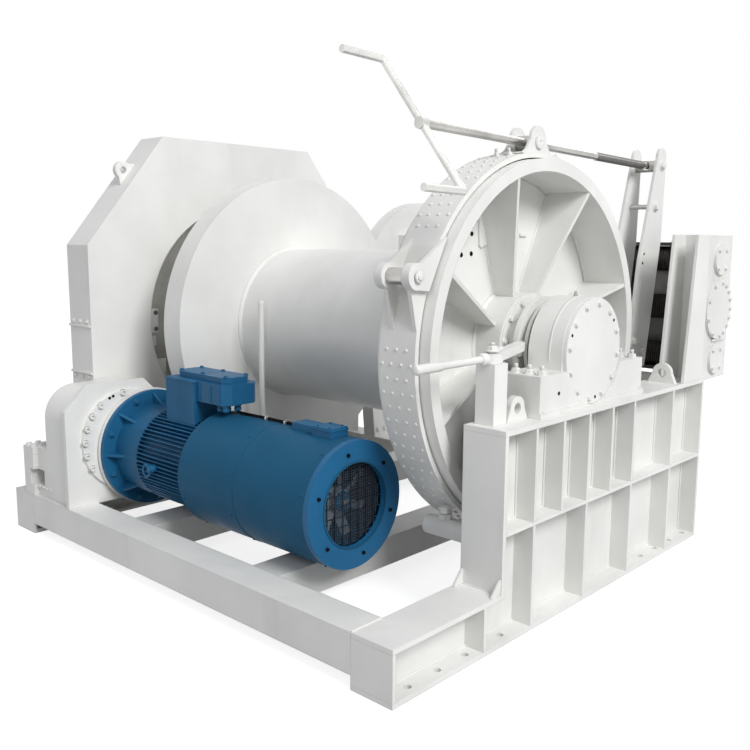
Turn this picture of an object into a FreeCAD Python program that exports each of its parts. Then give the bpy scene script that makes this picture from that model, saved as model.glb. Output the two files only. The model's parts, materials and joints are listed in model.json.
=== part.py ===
# Electric anchor winch: welded base frame, bearing girder, rope drum with brake wheel,
# geared drive in a plate casing, fan-cooled motor, screw-down band brake and rope guide.
# Millimetres. Origin on the floor under the drum bearing, X along the drum axis
# (the gear end is at -X), -Y towards the motor side, Z up.
import FreeCAD, Part
import math
import os
import re
import Sketcher

doc = FreeCAD.newDocument("anchor_winch")
sheet = doc.addObject("Spreadsheet::Sheet", "Sizes")

# Driving dimensions: alias, value, meaning
SIZES = [
    ("face_gap", 0.3, "gap between curved faces that must not bind"),
    ("running_gap", 5, "gap between moving and fixed pieces"),
    ("bearing_play", 0.05, "radial play of a shaft in its bearing"),
    # base frame
    ("foot_width", 180, "width of both foot beams"),
    ("foot_height", 195, "height of both foot beams"),
    ("foot_flange", 18, "flange thickness of the foot beams"),
    ("foot_web", 16, "web thickness of the foot beams and the girder"),
    ("foot_end", 14, "end plate thickness of the foot beams"),
    ("foot_spacing", 2335, "distance between the foot beams"),
    ("frame_front", 1225, "drum axis to the motor-side ends of the foot beams"),
    ("rail_width", 150, "width of the box rails"),
    ("rail_height", 145, "height of the box rails"),
    ("rail_wall", 8, "wall of the box rails"),
    ("cross_width", 160, "width of the cross members"),
    ("cross_mid", 720, "girder plane to the middle cross member"),
    ("cross_gear", 1555, "girder plane to the gearbox cross member"),
    ("cross_drop", 20, "rail top down to the cross member tops"),
    ("anchor_hole", 13, "radius of the anchor holes"),
    ("anchor_across", 50, "beam web to the anchor holes"),
    # bearing girder
    ("girder_front", 657, "drum axis to the front plate of the girder"),
    ("girder_height", 780, "top of the girder above the floor"),
    ("girder_flange", 20, "top flange and end plates of the girder"),
    ("shelf_top", 415, "top of the mid shelf"),
    ("shelf_plate", 14, "thickness of the mid shelf"),
    ("stiffener_plate", 14, "thickness of the girder stiffeners"),
    ("first_stiffener", 457, "drum axis to the first stiffener"),
    ("stiffener_pitch", 375, "distance between main stiffeners"),
    ("toe_stiffener", 755, "drum axis to the stiffener of the foot toe"),
    ("lug_width", 130, "width of a lifting lug"),
    ("lug_head", 45, "head radius of a lifting lug"),
    ("lug_plate", 25, "thickness of a lifting lug"),
    ("lug_bore", 20, "bore radius of a lifting lug"),
    ("lug_front", 474, "drum axis to the front lifting lug"),
    ("lug_inset", 230, "guide column to the rear lifting lug"),
    # drum bearing
    ("bearing_rise", 215, "girder top up to the drum axis"),
    ("shaft_radius", 110, "drum shaft"),
    ("housing_radius", 212, "bearing housing outside"),
    ("housing_back", 120, "girder plane to the back of the housing"),
    ("housing_front", 30, "girder plane to the front of the housing"),
    ("bearing_foot", 400, "half length of the housing foot"),
    ("bearing_foot_front", 57, "girder plane to the front of the housing foot"),
    ("bearing_foot_height", 155, "height of the housing foot"),
    ("bearing_sole", 22, "thickness of the sole plate"),
    ("bearing_sole_front", 66, "girder plane to the front of the sole plate"),
    ("cover_radius", 210, "bearing cover"),
    ("cover_plate", 17, "bearing cover thickness"),
    # drum
    ("barrel_radius", 380, "rope drum barrel outside"),
    ("barrel_wall", 30, "rope drum barrel wall"),
    ("flange_radius", 737, "drum flange outside"),
    ("flange_face", 1692, "girder plane to the rope face of the drum flange"),
    ("flange_depth", 130, "depth of the drum flange rim"),
    ("flange_plate", 24, "plate of the drum flange"),
    ("neck_radius", 420, "neck between drum flange and gear wheel"),
    ("neck_wall", 25, "wall of the neck"),
    ("wheel_radius", 750, "brake wheel outside"),
    ("rim_wall", 50, "wall of the brake wheel rim"),
    ("rim_face", 172, "girder plane to the front of the brake rim"),
    ("rim_width", 248, "width of the brake rim"),
    ("wheel_web_at", 390, "girder plane to the brake wheel web"),
    ("wheel_web", 16, "thickness of the brake wheel web"),
    ("hub_radius", 215, "brake wheel hub"),
    ("hub_face", 255, "girder plane to the front of the hub"),
    ("rib_plate", 16, "thickness of the brake wheel ribs"),
    ("rib_hub_step", 35, "hub face back to the rib edge at the hub"),
    ("rib_nose_step", 25, "hub face back to the rib edge at its nose"),
    ("rib_nose", 270, "radius of the rib nose"),
    ("rib_shoulder_step", 18, "rim face back to the rib shoulder"),
    ("rib_shoulder_inset", 110, "brake wheel outside in to the rib shoulder"),
    ("rib_rim_step", 3, "rim face back to the rib edge at the rim"),
    ("rib_start", 26, "angle of the first rib"),
    ("rib_step", 45, "angle between ribs"),
    # dog clutch
    ("sleeve_back", 250, "girder plane to the back of the clutch sleeve"),
    ("sleeve_front", 140, "girder plane to the front of the clutch sleeve"),
    ("sleeve_neck", 150, "radius of the clutch sleeve in its groove"),
    ("sleeve_collar", 205, "radius of the clutch collars"),
    ("groove_back", 176, "girder plane to the back of the fork groove"),
    ("groove_front", 156, "girder plane to the front of the fork groove"),
    # gear wheel and casing
    ("gear_radius", 765, "gear wheel over the teeth"),
    ("gear_root", 740, "gear wheel at the tooth roots"),
    ("gear_width", 110, "gear wheel width"),
    ("gear_back", 2310, "girder plane to the back of the gear wheel"),
    ("gear_teeth", 96, "teeth of the gear wheel"),
    ("casing_face", 2146, "girder plane to the casing front"),
    ("casing_depth", 200, "casing depth"),
    ("casing_plate", 12, "casing plate"),
    ("casing_half", 936, "casing half width"),
    ("casing_shoulder", 394, "drum axis up to the casing shoulder"),
    ("casing_top", 938, "drum axis up to the casing top"),
    ("casing_top_half", 496, "half width of the casing top"),
    ("casing_opening", 600, "radius of the casing opening"),
    ("gear_bearing_radius", 200, "gear end bearing outside"),
    ("gear_bearing_depth", 90, "gear end bearing length"),
    # gearbox
    ("gearbox_face", 1893, "girder plane to the gearbox front"),
    ("gearbox_plate", 24, "gearbox front plate"),
    ("gearbox_at", 961, "drum axis to the gearbox centre"),
    ("gearbox_half", 262, "gearbox half width"),
    ("gearbox_top", 758, "gearbox top above the floor"),
    ("gearbox_chamfer", 112, "gearbox corner chamfer"),
    ("gearbox_depth", 235, "gearbox body depth"),
    ("gearbox_inset", 22, "gearbox body inset from its front plate"),
    ("gearbox_cover_at", 914, "drum axis to the gearbox cover centre"),
    ("gearbox_cover_height", 483, "gearbox cover centre above the floor"),
    ("gearbox_cover_radius", 235, "gearbox cover radius"),
    ("gearbox_cover_plate", 15, "gearbox cover thickness"),
    ("gearbox_round", 150, "corner radius of the gearbox body"),
    ("bracket_depth", 190, "depth of the gearbox rear bracket"),
    ("bracket_top", 430, "top of the gearbox rear bracket above the floor"),
    ("bracket_post", 95, "width of the post of the rear bracket"),
    ("bracket_window", 95, "width of the window in the rear bracket"),
    ("bracket_window_at", 2163, "girder plane to the window of the rear bracket"),
    ("bracket_window_foot", 248, "window foot above the floor"),
    ("bracket_window_height", 75, "height of the window in the rear bracket"),
    ("bracket_window_depth", 60, "depth of the window in the rear bracket"),
    # motor
    ("motor_at", 800, "drum axis to the motor axis"),
    ("motor_height", 432, "motor axis above the floor"),
    ("motor_flange_face", 1833, "girder plane to the motor flange"),
    ("motor_flange_radius", 275, "motor flange"),
    ("motor_flange_plate", 25, "motor flange thickness"),
    ("adapter_radius", 225, "motor adapter ring"),
    ("motor_radius", 212, "motor end shield"),
    ("shield_end", 1655, "girder plane to the end of the motor end shield"),
    ("gusset_reach", 262, "motor axis to the toes of the flange gussets"),
    ("gusset_length", 80, "length of the flange gussets"),
    ("gusset_plate", 12, "thickness of the flange gussets"),
    ("fin_root", 190, "motor frame under the cooling fins"),
    ("fin_tip", 216, "motor axis to the fin tips"),
    ("fin_plate", 5, "thickness of the cooling fins"),
    ("cowl_start", 1280, "girder plane to the start of the cowl"),
    ("cowl_end", 505, "girder plane to the end of the cowl"),
    ("cowl_radius", 249, "cowl outside"),
    ("cowl_wall", 3, "cowl sheet"),
    ("fan_ring_depth", 24, "depth of the cowl end ring"),
    ("fan_opening", 165, "radius of the air inlet"),
    ("guard_wire", 4, "wires of the fan guard"),
    ("guard_pitch", 42, "distance between the wires of the fan guard"),
    ("guard_seat", 8, "guard wires past the edge of the air inlet"),
    ("fan_at", 575, "girder plane to the fan"),
    ("fan_radius", 158, "fan blade tips"),
    ("fan_hub", 45, "fan hub radius"),
    ("fan_depth", 40, "fan depth"),
    ("fan_blade", 3, "thickness of the fan blades"),
    ("fan_pitch", 28, "pitch of the fan blades"),
    ("motor_shaft", 24, "radius of the motor shaft at the fan"),
    ("box_front", 905, "drum axis to the front of the main terminal box"),
    ("box_back", 705, "drum axis to the back of the main terminal box"),
    ("box_left", 1565, "girder plane to the start of the main terminal box"),
    ("box_step", 1355, "girder plane to the step of the main terminal box"),
    ("box_right", 1150, "girder plane to the end of the main terminal box"),
    ("box_inset", 14, "step of the box front beside its column"),
    ("box_floor", 728, "underside of the box extension above the floor"),
    ("box_rim", 815, "rim of the main terminal box above the floor"),
    ("box_top", 843, "top of its lid above the floor"),
    ("box_chamfer", 34, "corner chamfers of the main terminal box"),
    ("lid_inset", 22, "rim of the box to its lid"),
    ("small_box_left", 800, "girder plane to the start of the small terminal box"),
    ("small_box_step", 668, "girder plane to the step of the small terminal box"),
    ("small_box_right", 567, "girder plane to the end of the small terminal box"),
    ("small_box_front", 848, "drum axis to the front of the small terminal box"),
    ("small_box_back", 756, "drum axis to the back of the small terminal box"),
    ("small_box_top", 716, "top of the small terminal box above the floor"),
    # band brake
    ("band_back", 390, "girder plane to the back edge of the band"),
    ("band_width", 170, "width of the brake band"),
    ("band_gap", 5, "running gap between band and wheel"),
    ("band_plate", 20, "lining and band together"),
    ("hinge_angle", 21, "angle of the band hinge on the motor side"),
    ("hinge_reach", 92, "wheel radius to the hinge pins"),
    ("upper_end", 168, "angle of the upper band end"),
    ("lower_end", 190, "angle of the lower band end"),
    ("hinge_split", 1, "angle left free between band halves at the hinge"),
    ("ear_plate", 18, "thickness of the band ears"),
    ("ear_head", 48, "head radius of the hinge ears"),
    ("anchor_head", 32, "head radius of the anchor ear"),
    ("hinge_inset", 44, "back edge of the band to the back of the hinge"),
    ("hinge_tube", 30, "spacer tube of the hinge"),
    ("pin_radius", 14, "hinge pins of the band"),
    # brake screw
    ("screw_over", 43, "band up to the brake screw"),
    ("screw_at", 295, "girder plane to the brake screw"),
    ("screw_tilt", 1.1, "fall of the brake screw towards the rope side"),
    ("screw_radius", 16, "brake screw"),
    ("screw_front", 665, "drum axis to the crank"),
    ("screw_past", 95, "lever nut to the rope-side end of the screw"),
    ("crank_reach", 307, "half length of the crank bar"),
    ("crank_angle", 128.5, "angle of the crank bar above the horizontal"),
    ("crank_bar", 14, "radius of the crank bar and grips"),
    ("grip_length", 210, "length of the crank grips"),
    ("bracket_spread", 96, "distance between the screw bracket plates"),
    ("bracket_plate", 12, "thickness of the screw bracket plates"),
    ("bracket_half", 135, "half width of the screw bracket foot"),
    ("bracket_waist", 82, "half width of the screw bracket waist"),
    ("bracket_waist_rise", 34, "foot of the screw bracket up to its waist"),
    ("bracket_over", 65, "brake screw up to the top of the screw bracket"),
    ("bracket_head", 54, "head radius of the screw bracket"),
    ("crank_gap", 18, "length of the crank boss past the crank plane"),
    ("boss_length", 36, "length of the crank boss"),
    ("boss_radius", 21, "crank boss"),
    ("trunnion_radius", 30, "trunnion of the screw bracket"),
    # brake lever
    ("lever_pivot_out", 218, "brake wheel to the lever pivot"),
    ("lever_pivot_drop", 115, "drum axis down to the lever pivot"),
    ("lever_spread", 130, "distance between the lever plates"),
    ("lever_plate", 14, "thickness of the lever plates"),
    ("lever_top_out", 335, "brake wheel to the lever nut"),
    ("lever_tip_out", 125, "brake wheel to the lower band pin"),
    ("lever_tip_drop", 55, "drum axis down to the lower band pin"),
    ("lever_head", 42, "head radius of the lever plates"),
    ("lever_head_over", 21, "brake screw up to the centre of the lever head"),
    ("elbow_front_out", 147, "brake wheel to the front elbow of the lever"),
    ("elbow_back_out", 366, "brake wheel to the back elbow of the lever"),
    ("lever_elbow_rise", 339, "drum axis up to the front elbow of the lever"),
    ("tip_play", 10, "clearance of the lever tip pin in the lower band ear"),
    ("spacer_out", 284, "brake wheel to the lever spacer"),
    ("spacer_rise", 597, "drum axis up to the lever spacer"),
    ("spacer_radius", 12, "lever spacer"),
    ("seat_overhang", 85, "screw plane to the end of the lever seat"),
    ("seat_depth", 100, "width of the lever seat beam"),
    ("seat_cheek", 60, "thickness of the seat cheek"),
    ("seat_head", 32, "head radius of the seat cheek"),
    ("link_spread", 84, "distance between the anchor straps"),
    ("link_plate", 10, "thickness of the anchor straps"),
    ("link_half", 26, "half width of the anchor straps"),
    ("lever_pin", 18, "radius of the lever pins"),
    ("nut_radius", 30, "trunnion nut of the lever"),
    ("nut_play", 5, "clearance of the screw in the lever nut"),
    ("seat_height", 60, "height of the lever seat beam"),
    # clutch lever
    ("post_at", 580, "drum axis to the clutch lever post"),
    ("post_offset", 30, "girder plane to the clutch lever"),
    ("post_width", 80, "width of the clutch lever post"),
    ("post_over", 2, "drum axis up to the top of the clutch lever post"),
    ("clutch_pin", 14, "pivot pin of the clutch lever"),
    ("clutch_head", 34, "height of the clutch lever head"),
    ("clutch_head_radius", 38, "clutch lever head"),
    ("arm_width", 40, "width of the clutch lever arm"),
    ("shoe_plate", 10, "thickness of the clutch shoe"),
    ("shoe_depth", 60, "depth of the clutch shoe"),
    ("handle_radius", 13, "clutch handle tube"),
    ("handle_reach", 1000, "drum axis to the end of the clutch handle"),
    # rope guide
    ("column_inset", 35, "end of the girder to the back of the guide column"),
    ("column_depth", 203, "depth of the guide column at its foot"),
    ("column_top_depth", 130, "depth of the guide column at its top"),
    ("column_width", 125, "width of the guide column"),
    ("column_plate", 14, "plates of the guide column"),
    ("column_rise", 368, "guide screw up to the top of the guide column"),
    ("guide_out", 320, "end of the girder to the guide screw"),
    ("guide_screw_rise", 307, "girder top up to the guide screw"),
    ("guide_rise", 250, "guide screw to each guide rod"),
    ("housing_drop", 352, "guide screw down to the bottom of the end housings"),
    ("end_housing_depth", 60, "depth of the guide end housings"),
    ("housing_front_half", 262, "guide screw to the front of the end housings"),
    ("housing_rear_half", 150, "guide screw to the back of the end housings"),
    ("guide_cover", 150, "radius of the guide screw cover"),
    ("rod_cover", 78, "radius of the guide rod covers"),
    ("guide_cover_plate", 14, "thickness of the guide covers"),
    ("guide_rod_radius", 28, "guide rods"),
    ("guide_screw_radius", 32, "guide screw"),
    ("far_plate_at", 1920, "girder plane to the far guide plate"),
    ("far_plate_depth", 90, "depth of the far guide plate"),
    ("far_plate_arch", 574, "arch radius of the far guide plate"),
    ("far_front_half", 540, "guide screw to the front of the far plate"),
    ("far_rear_half", 160, "guide screw to the back of the far plate"),
    ("carriage_at", 380, "girder plane to the middle of the guide carriage"),
    ("carriage_width", 330, "width of the guide carriage"),
    ("carriage_front", 60, "guide screw to the front of the carriage"),
    ("carriage_rear", 60, "guide screw to the back of the carriage cheeks"),
    ("carriage_plate", 18, "plates of the carriage"),
    ("carriage_drop", 330, "guide screw down to the bottom of the carriage"),
    ("carriage_rise", 333, "guide screw up to the top of the carriage"),
    ("bush_wall", 16, "wall of the carriage bushes"),
    ("roller_radius", 45, "rope rollers of the carriage"),
    ("roller_axle", 15, "axles of the rope rollers"),
    ("roller_spread", 220, "distance between the rope rollers"),
    ("roller_reach", 115, "guide screw to the rope rollers"),
    # small pieces
    ("rest_at", 530, "drum axis to the band rest"),
    ("rest_drop", 73, "mid shelf down to the band rest tube"),
    ("stud_least", 60, "least height of the band over the band rest tube"),
    ("rest_radius", 38, "band rest tube"),
    ("rest_end", 345, "girder plane to the end of the band rest tube"),
    ("stud_at", 265, "girder plane to the stud of the band rest"),
    ("stud_radius", 16, "stud of the band rest"),
    ("rod_post_along", 1490, "girder plane to the upright rod"),
    ("rod_post_at", 415, "drum axis to the upright rod"),
    ("rod_post_radius", 13, "upright rod beside the motor"),
    ("rod_post_top", 1132, "top of the upright rod"),
]
# Sizes that follow other sizes
FOLLOWING = {
    "axis_height": "(girder_height + bearing_rise)",
    "rim_inner": "(wheel_radius - rim_wall)",
    "rib_shoulder": "(wheel_radius - rib_shoulder_inset)",
    "band_outer": "(wheel_radius + band_gap + band_plate)",
    "screw_rise": "(band_outer + screw_over)",
    "screw_height": "(axis_height + screw_rise)",
    "bracket_apex": "(screw_height + bracket_over)",
    "lever_pivot_at": "(wheel_radius + lever_pivot_out)",
    "lever_top_at": "(wheel_radius + lever_top_out)",
    "lever_tip_at": "(wheel_radius + lever_tip_out)",
    "lever_elbow_front": "(wheel_radius + elbow_front_out)",
    "lever_elbow_back": "(wheel_radius + elbow_back_out)",
    "spacer_at": "(wheel_radius + spacer_out)",
    "screw_rear": "(lever_top_at + screw_past)",
    "frame_rear": "(lever_pivot_at + seat_head)",
    "column_back": "(frame_rear - column_inset)",
    "lug_rear": "(column_back - lug_inset)",
    "guide_at": "(frame_rear + guide_out)",
    "lever_pivot_height": "(axis_height - lever_pivot_drop)",
    "lever_tip_height": "(axis_height - lever_tip_drop)",
    "lever_head_height": "(screw_height + lever_head_over)",
    "lever_elbow_height": "(axis_height + lever_elbow_rise)",
    "spacer_height": "(axis_height + spacer_rise)",
    "post_height": "(bearing_rise + post_over)",
    "guide_height": "(girder_height + guide_screw_rise)",
    "guide_end_bottom": "(guide_height - housing_drop)",
    "column_top": "(guide_height + column_rise)",
    "carriage_bottom": "(guide_height - carriage_drop)",
    "carriage_top": "(guide_height + carriage_rise)",
    "band_under_rest": "(axis_height - sqrt(band_outer ^ 2 - (rest_at - stud_radius) ^ 2))",
    "rest_height": "min(shelf_top - shelf_plate - rest_drop; band_under_rest - stud_least)",
    "cross_top": "(foot_height - cross_drop)",
}
ROW_FIRST = 2
sheet.set("A1", "name")
sheet.set("B1", "value")
sheet.set("C1", "meaning")
for row, (alias, value, meaning) in enumerate(SIZES, ROW_FIRST):
    sheet.set("A%d" % row, alias)
    sheet.set("B%d" % row, str(value))
    sheet.set("C%d" % row, meaning)
    sheet.setAlias("B%d" % row, alias)
doc.recompute()

nodes = []


def bound(text):
    """Expression text with each size name read from the sheet."""
    for name, meaning in reversed(FOLLOWING.items()):
        text = re.sub(r"\b%s\b" % name, meaning, text)
    return re.sub(r"\b(?!deg\b)[a-z][a-z_]*\b(?!\()", lambda word: "Sizes." + word.group(0), text)


def turn(axis, angle):
    vectors = {"X": "vector(1; 0; 0)", "Y": "vector(0; 1; 0)", "Z": "vector(0; 0; 1)"}
    return "rotation(%s; %s)" % (vectors[axis], angle)


ALONG = {"X": turn("Y", "90"), "Y": turn("X", "-90"), "Z": turn("Z", "0")}


def place(thing, at, turned=None):
    turned = turned or turn("Z", "0")
    text = "placement(vector(%s; %s; %s); %s)" % (at[0], at[1], at[2], turned)
    thing.setExpression("Placement", bound(text))
    return thing


def block(label, at, size, turned=None):
    solid = doc.addObject("Part::Box", label)
    for side, text in zip(("Length", "Width", "Height"), size):
        solid.setExpression(side, bound(text))
    return place(solid, at, turned)


def cylinder(label, at, radius, length, turned, sweep=None):
    solid = doc.addObject("Part::Cylinder", label)
    solid.setExpression("Radius", bound(radius))
    solid.setExpression("Height", bound(length))
    if sweep:
        solid.setExpression("Angle", bound(sweep))
    return place(solid, at, turned)


def cut(label, base, *tools):
    tool = tools[0] if len(tools) == 1 else group(label + "_tools", *tools)
    result = doc.addObject("Part::Cut", label)
    result.Base = base
    result.Tool = tool
    return result


def fuse(label, *parts):
    result = doc.addObject("Part::MultiFuse", label)
    result.Shapes = list(parts)
    result.Refine = True
    return result


def group(label, *parts):
    result = doc.addObject("Part::Compound", label)
    result.Links = list(parts)
    return result


def node(thing, label):
    thing.Label = label
    nodes.append(thing)
    return thing


def origin_plane(body, role):
    return [item for item in body.Origin.OriginFeatures if item.Role == role][0]


def outline(body, plane, points):
    """Closed polygon sketch whose corners are bound to the sheet."""
    sketch = body.newObject("Sketcher::SketchObject", body.Name + "_outline")
    sketch.AttachmentSupport = [(origin_plane(body, plane), "")]
    sketch.MapMode = "FlatFace"
    count = len(points)
    ring = [FreeCAD.Vector(100 * math.cos(2 * math.pi * i / count), 100 * math.sin(2 * math.pi * i / count), 0)
            for i in range(count)]
    for i in range(count):
        sketch.addGeometry(Part.LineSegment(ring[i], ring[(i + 1) % count]), False)
    for i in range(count):
        sketch.addConstraint(Sketcher.Constraint("Coincident", i, 2, (i + 1) % count, 1))
    for i, corner in enumerate(points):
        for kind, start, text in zip(("DistanceX", "DistanceY"), (ring[i].x, ring[i].y), corner):
            index = sketch.addConstraint(Sketcher.Constraint(kind, -1, 1, i, 1, start))
            sketch.setExpression("Constraints[%d]" % index, bound(text))
    return sketch


def plate(label, plane, points, thickness, at=("0", "0", "0"), turned=None):
    """Plate padded from a polygon; the pad grows along +X, -Y or +Z from its plane."""
    body = doc.addObject("PartDesign::Body", label)
    pad = body.newObject("PartDesign::Pad", label + "_pad")
    pad.Profile = outline(body, plane, points)
    pad.setExpression("Length", bound(thickness))
    place(body, at, turned)
    return body


def turned_piece(label, points, at):
    """Piece revolved about the X axis through its own origin; points are (x, radius)."""
    body = doc.addObject("PartDesign::Body", label)
    turning = body.newObject("PartDesign::Revolution", label + "_turned")
    sketch = outline(body, "XZ_Plane", points)
    turning.Profile = sketch
    turning.ReferenceAxis = (sketch, ["H_Axis"])
    turning.Angle = 360
    place(body, at)
    return body


AXIS = ("0", "0", "axis_height")
FRONT = "-frame_front"
FRAME_LENGTH = "(frame_front + frame_rear)"
FAN_BLADES = 7
COOLING_FINS = 36
# drum axis to the anchor holes of both foot beams
HOLES_ALONG = (-1108, -958, -808, -600, -415, 500, 640, 790, 940)


# Base frame
def anchor_holes(label, x, depth):
    """Holes in both halves of a bottom flange."""
    holes = []
    for i, y in enumerate(HOLES_ALONG):
        for side in ("-", "+"):
            holes.append(cylinder("%s_hole_%d%s" % (label, i, "a" if side == "-" else "b"),
                                  ("%s %s anchor_across" % (x, side), str(y), "0"), "anchor_hole", depth, ALONG["Z"]))
    return holes


def base_frame():
    half = "foot_width / 2"
    bottom_flange = block("bottom_flange", ("-" + half, FRONT, "0"), ("foot_width", FRAME_LENGTH, "foot_flange"))
    bottom_flange = cut("bottom_flange_holed", bottom_flange, *anchor_holes("girder", "0", "foot_flange"))
    toe_flange = block("toe_flange", ("-" + half, FRONT, "foot_height - foot_flange"),
                       ("foot_width", "frame_front - girder_front", "foot_flange"))
    top_flange = block("top_flange", ("-" + half, "-girder_front", "girder_height - girder_flange"),
                       ("foot_width", "girder_front + frame_rear", "girder_flange"))
    node(group("girder_flanges", bottom_flange, toe_flange, top_flange), "girder_flanges")
    profile = [("-" + half, "0"), (half, "0"), (half, "foot_flange"), ("foot_web / 2", "foot_flange"),
               ("foot_web / 2", "foot_height - foot_flange"), (half, "foot_height - foot_flange"),
               (half, "foot_height"), ("-" + half, "foot_height"), ("-" + half, "foot_height - foot_flange"),
               ("-foot_web / 2", "foot_height - foot_flange"), ("-foot_web / 2", "foot_flange"),
               ("-" + half, "foot_flange")]
    beam = plate("foot_beam", "XZ_Plane", profile, FRAME_LENGTH, ("-foot_spacing", "frame_rear", "0"))
    ends = [block("foot_beam_end_" + name, ("-foot_spacing - foot_width / 2", y, "foot_flange"),
                  ("foot_width", "foot_end", "foot_height - 2 * foot_flange"))
            for name, y in (("front", FRONT), ("rear", "frame_rear - foot_end"))]
    beam = fuse("foot_beam_closed", beam, *ends)
    node(cut("gear_foot_beam", beam, *anchor_holes("gear_foot", "-foot_spacing", "foot_flange")), "gear_foot_beam")
    rails = []
    for name, side, past in (("front_rail", "-frame_front", "foot_end"),
                             ("rear_rail", "frame_rear - rail_width", "0")):
        bottom = "foot_height - rail_height"
        depth = "rail_width - foot_end - girder_flange"
        body = block(name + "_body", ("-foot_spacing + foot_width / 2", side, bottom),
                     ("foot_spacing - foot_width", "rail_width", "rail_height"))
        coped = block(name + "_tongue", ("-foot_spacing + foot_web / 2", side + " + " + past, bottom),
                      ("foot_spacing - foot_web", depth, "rail_height - foot_flange"))
        hollow = block(name + "_hollow", ("-foot_spacing", side + " + " + past + " + rail_wall",
                                          bottom + " + rail_wall"),
                       ("foot_spacing", depth + " - 2 * rail_wall", "rail_height - foot_flange - 2 * rail_wall"))
        rails.append(cut(name, fuse(name + "_outside", body, coped), hollow))
    node(group("frame_rails", *rails), "frame_rails")
    members = []
    for name, place_at in (("middle_cross_member", "cross_mid"), ("gearbox_cross_member", "cross_gear")):
        outside = block(name + "_outside", ("-" + place_at + " - cross_width / 2", FRONT + " + rail_width",
                                            "foot_height - rail_height"),
                        ("cross_width", FRAME_LENGTH + " - 2 * rail_width", "rail_height - cross_drop"))
        inside = block(name + "_inside", ("-" + place_at + " - cross_width / 2 + rail_wall",
                                          FRONT + " + rail_width", "foot_height - rail_height + rail_wall"),
                       ("cross_width - 2 * rail_wall", FRAME_LENGTH + " - 2 * rail_width",
                        "rail_height - cross_drop - 2 * rail_wall"))
        members.append(cut(name, outside, inside))
    node(group("cross_members", *members), "cross_members")


# Bearing girder
def girder():
    half = "foot_width / 2"
    web_top = "girder_height - girder_flange"
    inner_front = "-girder_front + girder_flange"
    inner_rear = "frame_rear - girder_flange"
    web = [("-frame_front + foot_end", "foot_flange"), (inner_rear, "foot_flange"), (inner_rear, web_top),
           (inner_front, web_top), (inner_front, "foot_height - foot_flange"),
           ("-frame_front + foot_end", "foot_height - foot_flange")]
    node(plate("girder_web", "YZ_Plane", web, "foot_web", ("-foot_web / 2", "0", "0")), "girder_web")
    front = block("front_plate", ("-" + half, "-girder_front", "foot_height - foot_flange"),
                  ("foot_width", "girder_flange", "girder_height - girder_flange - foot_height + foot_flange"))
    rear = block("rear_plate", ("-" + half, inner_rear, "foot_flange"),
                 ("foot_width", "girder_flange", "girder_height - girder_flange - foot_flange"))
    toe = block("toe_plate", ("-" + half, FRONT, "foot_flange"),
                ("foot_width", "foot_end", "foot_height - 2 * foot_flange"))
    node(group("girder_end_plates", front, rear, toe), "girder_end_plates")
    depth = "(foot_width - foot_web) / 2"
    shelves = []
    for name, x in (("inner", "-" + half), ("outer", "foot_web / 2")):
        shelves.append(block("shelf_" + name, (x, inner_front, "shelf_top - shelf_plate"),
                             (depth, "girder_front + frame_rear - 2 * girder_flange", "shelf_plate")))
    node(group("girder_shelf", *shelves), "girder_shelf")
    main = ["-first_stiffener + %d * stiffener_pitch" % i for i in range(4)]
    between = ["-first_stiffener + %s * stiffener_pitch" % i for i in ("0.5", "1.5")]
    upper = []
    lower = []
    for side, x in (("inner", "-" + half), ("outer", "foot_web / 2")):
        for i, y in enumerate(main + between):
            upper.append(block("upper_%s_%d" % (side, i), (x, y + " - stiffener_plate / 2", "shelf_top"),
                               (depth, "stiffener_plate", web_top + " - shelf_top")))
        for i, y in enumerate(main):
            lower.append(block("lower_%s_%d" % (side, i), (x, y + " - stiffener_plate / 2", "foot_flange"),
                               (depth, "stiffener_plate", "shelf_top - shelf_plate - foot_flange")))
    lower.append(block("toe_stiffener_outer", ("foot_web / 2", "-toe_stiffener", "foot_flange"),
                       (depth, "stiffener_plate", "foot_height - 2 * foot_flange")))
    node(group("girder_stiffeners", *(upper + lower)), "girder_stiffeners")


def lug(label, at, turned):
    corners = [("-lug_width / 2", "0"), ("lug_width / 2", "0"), ("lug_head", "lug_head"), ("-lug_head", "lug_head")]
    body = plate(label + "_body", "YZ_Plane", corners, "lug_plate", ("-lug_plate / 2", "0", "0"))
    head = cylinder(label + "_head", ("-lug_plate / 2", "0", "lug_head"), "lug_head", "lug_plate", ALONG["X"])
    hole = cylinder(label + "_hole", ("-lug_plate / 2", "0", "lug_head"), "lug_bore", "lug_plate", ALONG["X"])
    return place(cut(label, fuse(label + "_outside", body, head), hole), at, turned)


def lifting_lugs():
    front = lug("front_lifting_lug", ("0", "-lug_front", "girder_height"), turn("Z", "0"))
    rear = lug("rear_lifting_lug", ("0", "lug_rear", "girder_height"), turn("Z", "90"))
    node(group("lifting_lugs", front, rear), "lifting_lugs")


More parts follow.
